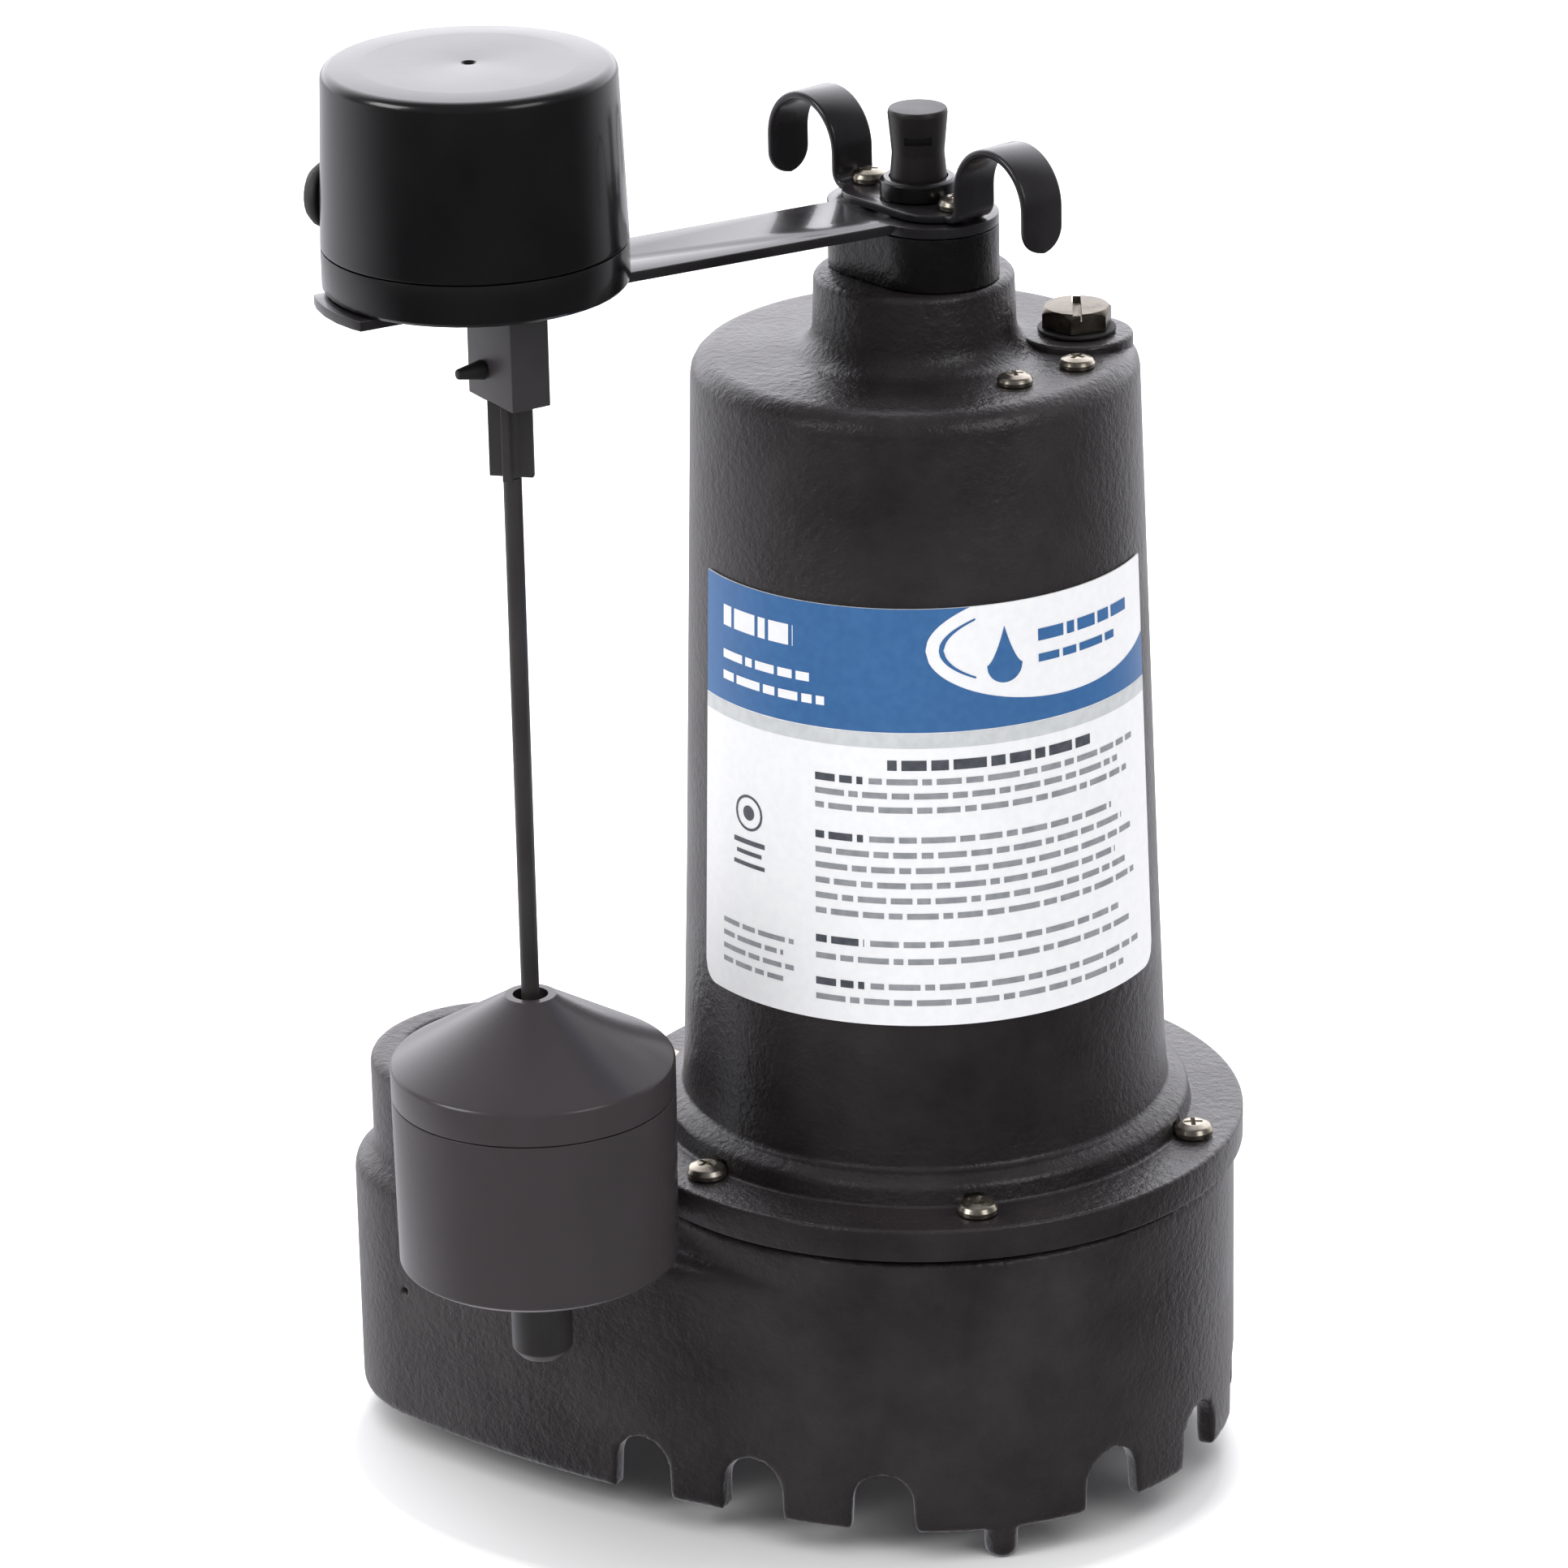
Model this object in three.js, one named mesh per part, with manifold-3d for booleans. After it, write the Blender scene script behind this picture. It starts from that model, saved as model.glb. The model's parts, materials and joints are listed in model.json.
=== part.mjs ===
// Submersible sump pump with a vertical float switch.
// Millimetres, +Z up. The model is laid out about the motor axis, with the discharge lobe towards -X
// and the feet on z = 0. The last lines move it so that its origin is the bottom centre of its box.
import * as THREE from "three";
import { mergeVertices } from "three/addons/utils/BufferGeometryUtils.js";
import Module from "manifold-3d";

const wasm = await Module();
wasm.setup();

// ---------------------------------------------------------------- driving dimensions

const GAP = 0.3; // left between two pieces that touch
const ROUND = 48; // facets round a casting
const FINE = 20; // facets round a small piece

// Base casting: strainer skirt, volute and discharge lobe
const BASE_R = 77.5;
const BASE_BOTTOM = 8;
const BASE_TOP = 81;
const BASE_WALL = 5;
const LOBE_X = -111;
const LOBE_R = 36.5;
const LOBE_TOP = 72;
const PORT_BOSS_R = 31.5;
const PORT_TOP = 99;
const PORT_BORE_R = 21.5; // clears the inside of a 1-1/2 inch pipe thread
const CHAMBER_TOP = 36; // ceiling of the open strainer chamber
const FLOOR_TOP = 41; // floor of the volute
const VOLUTE_R = 58;
const PLATE_SEAT = 70; // ledge that carries the seal plate
const PLATE_R = 62;
const EYE_R = 20;
const FOOT_R = 4.2;
const FOOT_ANGLES = [-66.5, 53.5];
const LOBE_FOOT_ANGLE = 173.5;
const ARCH_W = 15;
const ARCH_TOP = 23.5;
const ARCH_ANGLES = [-114, -88.9, -44.1, -19, 6.1, 31.1, 75.9, 101];
const BELLY_R = 280; // the slightly bowed walls between skirt and lobe
const BELLY_ARCH_ANGLE = 10.8; // of the arch in each bowed wall, from where that wall leaves the skirt

// Motor housing casting
const FLANGE_R = 79.8;
const FLANGE_BOTTOM = 82.6;
const FLANGE_TOP = 91;
const BODY_MID_R = 58.5;
const BODY_MID_Z = 156.6;
const BODY_TAPER = 0.0306; // radius lost per millimetre of height
const CROWN_Z = 290;
const CROWN_ROUND = 5.5;
const NECK_R = 24.3;
const NECK_TOP = 309.5;
const CORD_BORE_R = 8.5;
const GLAND_X = 1.5; // the cord outlet stands a little off the motor axis
const FLANGE_SCREW_R = 70.6; // radius of the screw circle
const FLANGE_SCREWS = 6;
const FLANGE_SCREW_PHASE = -10;
const PLUG_R = 39.5;
const PLUG_ANGLE = 15.5;
const PLUG_PAD_R = 13.7;
const PLUG_PAD_TOP = 292;
const CROWN_SCREWS = [
  { radius: 39, angle: -42.5 },
  { radius: 43, angle: -15.5 },
];

// Stack on top of the neck
const HORN_ANGLE = -39.5;
const CAP_HALF_LENGTH = 23.5;
const CAP_HALF_WIDTH = 15.5;
const CAP_TOP = 323;
const STRAP_SCREW_S = 16; // distance of each strap screw from the axis
const BRACKET_T = 2.5;
const BRACKET_W = 25;
const HORN_W = 12;
const HORN_T = 2;
const HORN_ROOT_S = 22.4; // centre line of the rising leg
const HORN_ARC_R = 12.1; // centre line of the curl
const HORN_TOP = 347.5;
const HORN_TIP = 324;
const HORN_PLATE_HALF_WIDTH = 11.5;
const GLAND_R = 6.9;
const GLAND_TOP = 350;

// Float switch
const GROMMET_ANGLE = 172; // where the cord grommet stands on the cap
const GROMMET_Z = 344.5;
const SWITCH_DISTANCE = 117.4;
const BRACKET_ANGLE = 219.6;
const STEM_ANGLE = -47; // direction from the switch axis to the rod axis
const STEM_OFFSET = 13.7;
const SWITCH_R = 36.1;
const SWITCH_TOP_R = 34.5;
const SWITCH_TOP = 379;
const SWITCH_SEAM = 336;
const STEM_LENGTH = 20.4; // across the bracket
const STEM_WIDTH = 10.2;
const STEM_BOTTOM = 301;
const ROD_R = 2.2;
const COUPLER_BOTTOM = 282;
const COUPLER_REACH = 5.3;
const FLOAT_R = 34.5;
const FLOAT_BOTTOM_R = 34;
const FLOAT_BOTTOM = 80.8;
const FLOAT_SEAM = 125;
const FLOAT_SHOULDER = 133.5;
const FLOAT_TOP = 150.5;
const FLOAT_BORE_R = 4.3;
const STOP_R = 7.6;
const STOP_BOTTOM = 55;
const LEVER_ARM = 20; // from the lever's pin to the plunger
const LEVER_Z = 332;

// Motor and hydraulics
const SHAFT_R = 6;
const STATOR_R = 51.4;
const ROTOR_R = 26;
const CORE_BOTTOM = 135;
const CORE_TOP = 205;
const BEARING_R = 16;

// Label
const LABEL_BOTTOM = 136.5;
const LABEL_TOP = 242.5;
const LABEL_FROM = -143.5;
const LABEL_TO = -9.5;
const LABEL_T = 0.5;

const bodyRadius = (z) => BODY_MID_R + (BODY_MID_Z - z) * BODY_TAPER;
const rad = THREE.MathUtils.degToRad;
const polar = (radius, degrees) => [radius * Math.cos(rad(degrees)), radius * Math.sin(rad(degrees))];

// ---------------------------------------------------------------- solids

// A closed geometry as a manifold solid, with its faces turned outwards.
function solid(geometry) {
  const bare = geometry.index ? geometry.toNonIndexed() : geometry.clone();
  bare.deleteAttribute("normal");
  bare.deleteAttribute("uv");
  const merged = mergeVertices(bare, 1e-4);
  const p = merged.attributes.position.array;
  const faces = [];
  let volume = 0;
  for (let i = 0; i < merged.index.count; i += 3) {
    const [a, b, c] = merged.index.array.slice(i, i + 3);
    if (a === b || b === c || c === a) continue;
    faces.push([a, b, c]);
    const [va, vb, vc] = [a, b, c].map((k) => new THREE.Vector3().fromArray(p, 3 * k));
    volume += va.dot(vb.cross(vc));
  }
  const ordered = volume < 0 ? faces.map(([a, b, c]) => [a, c, b]) : faces;
  const triVerts = new Uint32Array(ordered.flat());
  return new wasm.Manifold(new wasm.Mesh({ numProp: 3, vertProperties: p, triVerts }));
}

// A manifold solid back as a three.js geometry.
function geometryOf(made) {
  const mesh = made.getMesh();
  const geometry = new THREE.BufferGeometry();
  geometry.setAttribute("position", new THREE.BufferAttribute(mesh.vertProperties, 3));
  geometry.setIndex(new THREE.BufferAttribute(mesh.triVerts, 1));
  const flat = geometry.toNonIndexed();
  flat.computeVertexNormals();
  return flat;
}

// Points of an arc in a profile, from one angle to another, in degrees.
function arc(cx, cy, radius, from, to, steps = 5) {
  const points = [];
  for (let i = 0; i <= steps; i++) {
    const [x, y] = polar(radius, from + ((to - from) * i) / steps);
    points.push([cx + x, cy + y]);
  }
  return points;
}

// A solid of revolution about Z from a closed loop of [radius, z] points.
function turned(profile, facets = FINE) {
  const points = [...profile, profile[0]].map(([r, z]) => new THREE.Vector2(r, z));
  return solid(new THREE.LatheGeometry(points, facets).rotateX(Math.PI / 2));
}

const ring = (inner, outer, bottom, top, facets = FINE) =>
  turned([[inner, bottom], [outer, bottom], [outer, top], [inner, top]], facets);

const rod = (radius, bottom, top, facets = FINE) =>
  turned([[0, bottom], [radius, bottom], [radius, top], [0, top]], facets);

const at = (made, x, y, z = 0) => made.translate([x, y, z]);

function block(x0, x1, y0, y1, z0, z1) {
  const geometry = new THREE.BoxGeometry(x1 - x0, y1 - y0, z1 - z0);
  return solid(geometry.translate((x0 + x1) / 2, (y0 + y1) / 2, (z0 + z1) / 2));
}

function prism(shape, bottom, top, curveSegments = 12) {
  const geometry = new THREE.ExtrudeGeometry(shape, { depth: top - bottom, bevelEnabled: false, curveSegments });
  return solid(geometry.translate(0, 0, bottom));
}

const joined = (parts) => parts.reduce((all, part) => all.add(part));
const cut = (from, tools) => tools.reduce((left, tool) => left.subtract(tool), from);

// ---------------------------------------------------------------- meshes and materials

const paint = (color, roughness, metalness = 0) => new THREE.MeshStandardMaterial({ color, roughness, metalness });

const MATERIALS = {
  castIron: paint(0x2d2a2b, 0.5, 0.3),
  strap: paint(0x262527, 0.3, 0.4),
  glossPlastic: paint(0x1a181a, 0.22),
  satinPlastic: paint(0x464247, 0.5),
  darkPlastic: paint(0x2a282a, 0.5),
  rubber: paint(0x201f20, 0.7),
  zinc: paint(0xb9b0a0, 0.3, 0.9),
  steel: paint(0x8c8c8e, 0.35, 0.9),
  copper: paint(0xb06a38, 0.4, 0.7),
  aluminium: paint(0xa9abad, 0.4, 0.8),
  label: paint(0xe8eaee, 0.4),
  ceramic: paint(0xd8d2c6, 0.4),
};

const pump = new THREE.Group();

function add(parent, name, made, material) {
  const mesh = new THREE.Mesh(geometryOf(made), material);
  mesh.name = name;
  parent.add(mesh);
  return mesh;
}

function groupAt(parent, x, y, degrees = 0) {
  const group = new THREE.Group();
  group.position.set(x, y, 0);
  group.rotation.z = rad(degrees);
  parent.add(group);
  return group;
}

// ---------------------------------------------------------------- base casting

// The bowed walls are arcs that touch the skirt's circle and the lobe's circle from outside.
const toSkirt = BELLY_R - BASE_R;
const toLobe = BELLY_R - LOBE_R;
const BELLY_X = (LOBE_X ** 2 + toSkirt ** 2 - toLobe ** 2) / (2 * LOBE_X);
const BELLY_Y = Math.sqrt(toSkirt ** 2 - BELLY_X ** 2);

// Skirt and lobe as one outline: two circles joined by the bowed walls.
const skirtTurn = Math.atan2(BELLY_Y, -BELLY_X);
const lobeTurn = Math.atan2(BELLY_Y, LOBE_X - BELLY_X);

function baseOutline(inset) {
  const shape = new THREE.Shape();
  shape.absarc(0, 0, BASE_R - inset, -skirtTurn, skirtTurn, false);
  shape.absarc(BELLY_X, -BELLY_Y, BELLY_R - inset, skirtTurn, lobeTurn, false);
  shape.absarc(LOBE_X, 0, LOBE_R - inset, lobeTurn, 2 * Math.PI - lobeTurn, false);
  shape.absarc(BELLY_X, BELLY_Y, BELLY_R - inset, -lobeTurn, -skirtTurn, false);
  return shape;
}

// One strainer arch as a cutter that runs outwards along +X through the wall, wider at the foot.
function archCutter() {
  const half = ARCH_W / 2;
  const shape = new THREE.Shape();
  shape.moveTo(-half - 1, 0);
  shape.lineTo(half + 1, 0);
  shape.lineTo(half, ARCH_TOP - half);
  shape.absarc(0, ARCH_TOP - half, half, 0, Math.PI, false);
  shape.closePath();
  const reach = 30;
  const geometry = new THREE.ExtrudeGeometry(shape, { depth: reach, bevelEnabled: false, curveSegments: 6 });
  return solid(geometry.rotateX(Math.PI / 2).rotateZ(Math.PI / 2).translate(BASE_R - reach / 2, 0, 0));
}

function voluteBase() {
  const feet = [
    ...FOOT_ANGLES.map((angle) => [0, ...polar(BASE_R - FOOT_R, angle)]),
    [LOBE_X, ...polar(LOBE_R - FOOT_R, LOBE_FOOT_ANGLE)],
  ];
  const foot = turned([[0, 0], [FOOT_R - 1.2, 0], [FOOT_R, 1.4], [FOOT_R, 20], [0, 20]], 16);
  const body = joined([
    prism(baseOutline(0), BASE_BOTTOM, LOBE_TOP, 14),
    rod(BASE_R, BASE_BOTTOM, BASE_TOP, ROUND),
    at(rod(PORT_BOSS_R, LOBE_TOP - 15, PORT_TOP, ROUND), LOBE_X, 0),
  ]);
  const hollowed = cut(body, [
    prism(baseOutline(BASE_WALL), BASE_BOTTOM - 1, CHAMBER_TOP, 14),
    ring(VOLUTE_R + BASE_WALL, BASE_R - BASE_WALL, BASE_BOTTOM - 1, 62, ROUND),
  ]);
  const duct = block(-90, -57, -24, 24, CHAMBER_TOP, LOBE_TOP - 1);
  const made = cut(hollowed.add(duct), [
    rod(VOLUTE_R, FLOOR_TOP, BASE_TOP + 1, ROUND),
    rod(PLATE_R + GAP, PLATE_SEAT, BASE_TOP + 1, ROUND),
    rod(EYE_R, CHAMBER_TOP - 1, FLOOR_TOP + 1, ROUND),
    block(LOBE_X, -50, -17, 17, FLOOR_TOP + 4, 66),
    at(rod(LOBE_R - BASE_WALL - 1, FLOOR_TOP, LOBE_TOP - BASE_WALL, ROUND), LOBE_X, 0),
    at(rod(PORT_BORE_R, LOBE_TOP - 10, PORT_TOP + 1, ROUND), LOBE_X, 0),
    rod(FLANGE_R + 0.8, BASE_TOP, PORT_TOP + 1, ROUND),
  ]);
  const arch = archCutter();
  const arches = ARCH_ANGLES.map((angle) => arch.rotate([0, 0, angle]));
  for (const side of [-1, 1]) {
    const turn = side * (THREE.MathUtils.radToDeg(skirtTurn) + BELLY_ARCH_ANGLE);
    arches.push(at(at(arch, BELLY_R - BASE_R, 0).rotate([0, 0, turn]), BELLY_X, -side * BELLY_Y));
  }
  const screwHole = rod(3.1, BASE_TOP - 14, BASE_TOP + 1, 16);
  const holes = flangeScrewPlaces().map(([x, y]) => at(screwHole, x, y));
  return joined([cut(made, [...arches, ...holes]), ...feet.map(([cx, x, y]) => at(foot, cx + x, y))]);
}

function flangeScrewPlaces() {
  const step = 360 / FLANGE_SCREWS;
  return Array.from({ length: FLANGE_SCREWS }, (_, i) => polar(FLANGE_SCREW_R, FLANGE_SCREW_PHASE + i * step));
}

add(pump, "volute_base", voluteBase(), MATERIALS.castIron);

const gasketBlank = ring(PLATE_R + 1.5, BASE_R - 0.8, BASE_TOP + GAP, FLANGE_BOTTOM - GAP, ROUND);
const gasketHoles = flangeScrewPlaces().map(([x, y]) => at(rod(3.4, BASE_TOP, FLANGE_BOTTOM, 16), x, y));
add(pump, "volute_gasket", cut(gasketBlank, gasketHoles), MATERIALS.rubber);

// ---------------------------------------------------------------- motor housing

function motorHousing() {
  const crownR = bodyRadius(CROWN_Z - CROWN_ROUND);
  const neckFillet = 6.5;
  const profile = [
    [55.3, FLANGE_BOTTOM],
    [FLANGE_R, FLANGE_BOTTOM],
    [FLANGE_R, FLANGE_TOP - 1],
    [FLANGE_R - 1, FLANGE_TOP],
    [68.2, FLANGE_TOP + 0.2],
    [66.4, FLANGE_TOP + 4.6],
    [63.6, FLANGE_TOP + 6.8],
    [60.9, FLANGE_TOP + 9],
    [bodyRadius(BODY_MID_Z), BODY_MID_Z],
    ...arc(crownR - CROWN_ROUND, CROWN_Z - CROWN_ROUND, CROWN_ROUND, 0, 90),
    ...arc(NECK_R + 0.6 + neckFillet, CROWN_Z + neckFillet, neckFillet, 270, 180, 4),
    [NECK_R, NECK_TOP - 1.5],
    [NECK_R - 1.5, NECK_TOP],
    [CORD_BORE_R + 3, NECK_TOP],
    [CORD_BORE_R + 3, 284],
    [12.5, 284],
    [12.5, 270.3],
    [BEARING_R + 0.3, 270.3],
    [BEARING_R + 0.3, 258],
    [20, 258],
    [20, 284],
    [49.3, 284],
    [49.3, 220],
    [STATOR_R + 0.4, 214],
    [STATOR_R + 0.4, 99],
    [55.3, 94],
  ];
  const shell = turned(profile, ROUND);
  const plugPlace = polar(PLUG_R, PLUG_ANGLE);
  const pad = at(rod(PLUG_PAD_R, CROWN_Z - 4, PLUG_PAD_TOP, FINE), ...plugPlace);
  const crownSlot = block(-30, 30, -5, 5, 273, 282);
  const screwHole = rod(3.3, FLANGE_BOTTOM - 1, FLANGE_TOP + 8, 16);
  const spotFace = rod(5.6, FLANGE_TOP + 0.2, FLANGE_TOP + 8, 20);
  const tools = [at(rod(6.4, 280, PLUG_PAD_TOP + 1, FINE), ...plugPlace), crownSlot.intersect(rod(23, 272, 283, FINE))];
  for (const place of flangeScrewPlaces()) tools.push(at(screwHole, ...place), at(spotFace, ...place));
  for (const { radius, angle } of CROWN_SCREWS) tools.push(at(rod(2.4, 280, 295, 12), ...polar(radius, angle)));
  for (const side of [-1, 1]) {
    tools.push(at(rod(2.4, 298, NECK_TOP + 1, 12), ...polar(side * STRAP_SCREW_S, HORN_ANGLE)));
  }
  return cut(shell.add(pad), tools);
}

add(pump, "motor_housing", motorHousing(), MATERIALS.castIron);

function labelSkin() {
  const inner = (z) => bodyRadius(z) + GAP;
  const skin = turned(
    [
      [inner(LABEL_BOTTOM), LABEL_BOTTOM],
      [inner(LABEL_BOTTOM) + LABEL_T, LABEL_BOTTOM],
      [inner(LABEL_TOP) + LABEL_T, LABEL_TOP],
      [inner(LABEL_TOP), LABEL_TOP],
    ],
    72,
  );
  const sector = new THREE.Shape();
  sector.moveTo(0, 0);
  const middle = (LABEL_FROM + LABEL_TO) / 2;
  for (const angle of [LABEL_FROM, (LABEL_FROM + middle) / 2, middle, (LABEL_TO + middle) / 2, LABEL_TO]) {
    sector.lineTo(...polar(90, angle));
  }
  return skin.intersect(prism(sector, LABEL_BOTTOM - 1, LABEL_TOP + 1));
}

add(pump, "rating_label", labelSkin(), MATERIALS.label);

// A screw whose head rests on z = 0, with a cross recess or one slot.
function screw(headR, headH, shankR, shankL, slots) {
  const head = turned(
    [
      [0, -shankL],
      [shankR, -shankL],
      [shankR, 0],
      [headR, 0],
      [headR, headH * 0.55],
      [headR * 0.72, headH],
      [0, headH],
    ],
    18,
  );
  const slot = block(-headR * 0.6, headR * 0.6, -0.5, 0.5, headH - 1, headH + 1);
  return cut(head, Array.from({ length: slots }, (_, i) => slot.rotate([0, 0, 90 * i])));
}

const flangeScrew = screw(5, 3.2, 2.8, 22, 2);
flangeScrewPlaces().forEach(([x, y], i) => {
  const mesh = add(pump, `flange_screw_${i + 1}`, flangeScrew, MATERIALS.zinc);
  mesh.position.set(x, y, FLANGE_TOP + 0.5);
});

const crownScrew = screw(4.4, 2.6, 2, 9, 2);
CROWN_SCREWS.forEach(({ radius, angle }, i) => {
  const mesh = add(pump, `crown_screw_${i + 1}`, crownScrew, MATERIALS.zinc);
  mesh.position.set(...polar(radius, angle), CROWN_Z + GAP);
});

// Oil filler plug on its pad
const plugGroup = groupAt(pump, ...polar(PLUG_R, PLUG_ANGLE));
const washerTop = PLUG_PAD_TOP + GAP + 1;
add(plugGroup, "oil_plug_washer", ring(6.5, 9.6, PLUG_PAD_TOP + GAP, washerTop), MATERIALS.rubber);
const hexHead = rod(9, washerTop + GAP, washerTop + 5.2, 6).intersect(
  turned([[0, 290], [12, 290], [12, washerTop + 1], [7.6, washerTop + 5.4], [0, washerTop + 5.4]]),
);
const plugSlot = block(-8, 8, -1.1, 1.1, washerTop + 3.4, washerTop + 8);
const oilPlug = cut(hexHead.add(rod(6, 285, washerTop + 2)), [plugSlot.rotate([0, 0, 100])]);
add(plugGroup, "oil_plug", oilPlug, MATERIALS.zinc);

// ---------------------------------------------------------------- cord cap, bracket, handle and gland

function stadium(halfLength, halfWidth) {
  const straight = halfLength - halfWidth;
  const shape = new THREE.Shape();
  shape.absarc(straight, 0, halfWidth, -Math.PI / 2, Math.PI / 2, false);
  shape.absarc(-straight, 0, halfWidth, Math.PI / 2, (3 * Math.PI) / 2, false);
  return shape;
}

// Holes of the neck stack: two strap screws in the horn direction and the gland.
function stackHoles(glandHoleR, bottom, top) {
  const holes = [-1, 1].map((side) => at(rod(2.4, bottom, top, 12), ...polar(side * STRAP_SCREW_S, HORN_ANGLE)));
  return [...holes, at(rod(glandHoleR, bottom, top, FINE), GLAND_X, 0)];
}

const capBlank = prism(stadium(CAP_HALF_LENGTH, CAP_HALF_WIDTH), NECK_TOP + GAP, CAP_TOP, 14);
const cordCap = cut(capBlank.rotate([0, 0, HORN_ANGLE]), stackHoles(7.4, NECK_TOP - 1, CAP_TOP + 1));
add(pump, "cord_cap", cordCap, MATERIALS.castIron);

const bracketBottom = CAP_TOP + GAP;
const bracketTop = bracketBottom + BRACKET_T;
const [SWITCH_X, SWITCH_Y] = polar(SWITCH_DISTANCE, BRACKET_ANGLE);
const [stemDX, stemDY] = polar(STEM_OFFSET, STEM_ANGLE);
const ROD_X = SWITCH_X + stemDX;
const ROD_Y = SWITCH_Y + stemDY;
const mountScrewPlaces = [-22, 22].map((along) => polar(SWITCH_DISTANCE + along, BRACKET_ANGLE));

function switchBracket() {
  const half = BRACKET_W / 2;
  const reach = SWITCH_DISTANCE + 40;
  const strip = block(0, reach, -half, half, bracketBottom, bracketTop).rotate([0, 0, BRACKET_ANGLE]);
  const endDisc = at(rod(SWITCH_R + 2.3, bracketBottom, bracketTop, 40), SWITCH_X, SWITCH_Y);
  const armOnly = block(0, SWITCH_DISTANCE, -half, half, bracketBottom, bracketTop).rotate([0, 0, BRACKET_ANGLE]);
  const eye = prism(stadium(CAP_HALF_LENGTH, CAP_HALF_WIDTH), bracketBottom, bracketTop, 12);
  const blank = joined([strip.intersect(endDisc), armOnly, eye.rotate([0, 0, HORN_ANGLE])]);
  const notch = stemBox(GAP, bracketBottom - 1, bracketTop + 1).rotate([0, 0, STEM_ANGLE]);
  const mountHoles = mountScrewPlaces.map(([x, y]) => at(rod(2.2, bracketBottom - 1, bracketTop + 1, 12), x, y));
  return cut(blank, [...stackHoles(7.4, bracketBottom - 1, bracketTop + 1), at(notch, ROD_X, ROD_Y), ...mountHoles]);
}

// Two crossed fins, set on the diagonals of the guide stem.
function finCross(reach, halfThickness, bottom, top) {
  const fin = block(-reach, reach, -halfThickness, halfThickness, bottom, top);
  return joined([fin.rotate([0, 0, 45]), fin.rotate([0, 0, -45])]);
}

// The guide stem's outline, grown by a clearance.
function stemBox(clearance, bottom, top) {
  const halfLength = STEM_LENGTH / 2 + clearance;
  const halfWidth = STEM_WIDTH / 2 + clearance;
  return block(-halfLength, halfLength, -halfWidth, halfWidth, bottom, top);
}

add(pump, "switch_bracket", switchBracket(), MATERIALS.strap);

// One curled horn in the plane of its own leg: up from the plate, over, and down to a round tip.
function horn(bottom) {
  const half = HORN_T / 2;
  const arcZ = HORN_TOP - half - HORN_ARC_R;
  const arcS = HORN_ROOT_S + HORN_ARC_R;
  const outerTurn = arc(arcS, arcZ, HORN_ARC_R + half, 180, 0, 14);
  const innerTurn = arc(arcS, arcZ, HORN_ARC_R - half, 0, 180, 14);
  const tipZ = HORN_TIP + HORN_W / 2;
  const loop = [
    [CAP_HALF_WIDTH - 3, bottom],
    [HORN_ROOT_S - 2, bottom],
    ...arc(HORN_ROOT_S - 2, bottom + 3, 3, 270, 360, 4),
    ...innerTurn.reverse(),
    [HORN_ROOT_S + 2 * HORN_ARC_R - half, tipZ],
    [HORN_ROOT_S + 2 * HORN_ARC_R + half, tipZ],
    ...outerTurn.reverse(),
    [HORN_ROOT_S - half, bottom + 3],
    [HORN_ROOT_S - 2, bottom + HORN_T],
    [CAP_HALF_WIDTH - 3, bottom + HORN_T],
  ];
  const shape = new THREE.Shape(loop.map(([s, z]) => new THREE.Vector2(s, z)));
  const strip = new THREE.ExtrudeGeometry(shape, { depth: HORN_W, bevelEnabled: false });
  const bent = solid(strip.rotateX(Math.PI / 2).translate(0, HORN_W / 2, 0));
  const tip = new THREE.CylinderGeometry(HORN_W / 2, HORN_W / 2, HORN_T, 20);
  return bent.add(solid(tip.rotateZ(Math.PI / 2).translate(HORN_ROOT_S + 2 * HORN_ARC_R, 0, tipZ)));
}

const plateBottom = bracketTop + GAP;
const plateTop = plateBottom + HORN_T;
const hornPlate = prism(stadium(HORN_ROOT_S - 2.2, HORN_PLATE_HALF_WIDTH), plateBottom, plateTop, 12);
const oneHorn = horn(plateBottom);
const handleBlank = joined([hornPlate, oneHorn, oneHorn.rotate([0, 0, 180])]).rotate([0, 0, HORN_ANGLE]);
const handle = cut(handleBlank, stackHoles(7.4, plateBottom - 1, plateTop + 1));
add(pump, "carry_handle", handle, MATERIALS.strap);

const strapScrew = screw(4.4, 3, 2, 26, 2);
[-1, 1].forEach((side, i) => {
  const mesh = add(pump, `strap_screw_${i + 1}`, strapScrew, MATERIALS.zinc);
  mesh.position.set(...polar(side * STRAP_SCREW_S, HORN_ANGLE), plateTop + GAP);
});

const glandGroup = groupAt(pump, GLAND_X, 0);
const glandSlot = block(-3.2, 3.2, -8, -5.4, GLAND_TOP - 8, GLAND_TOP - 6).rotate([0, 0, 10]);
const gland = turned([
  [0, 300],
  [GLAND_R, 300],
  [GLAND_R, GLAND_TOP - 16],
  [GLAND_R - 0.5, GLAND_TOP - 11],
  [GLAND_R + 0.4, GLAND_TOP - 1.2],
  [GLAND_R, GLAND_TOP],
  [0, GLAND_TOP],
]);
add(glandGroup, "cord_gland", cut(gland, [glandSlot]), MATERIALS.rubber);
const nutBottom = plateTop + GAP;
add(glandGroup, "gland_nut", ring(GLAND_R + GAP, 9.4, nutBottom, nutBottom + 4.6), MATERIALS.darkPlastic);

// ---------------------------------------------------------------- motor inside the housing

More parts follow.
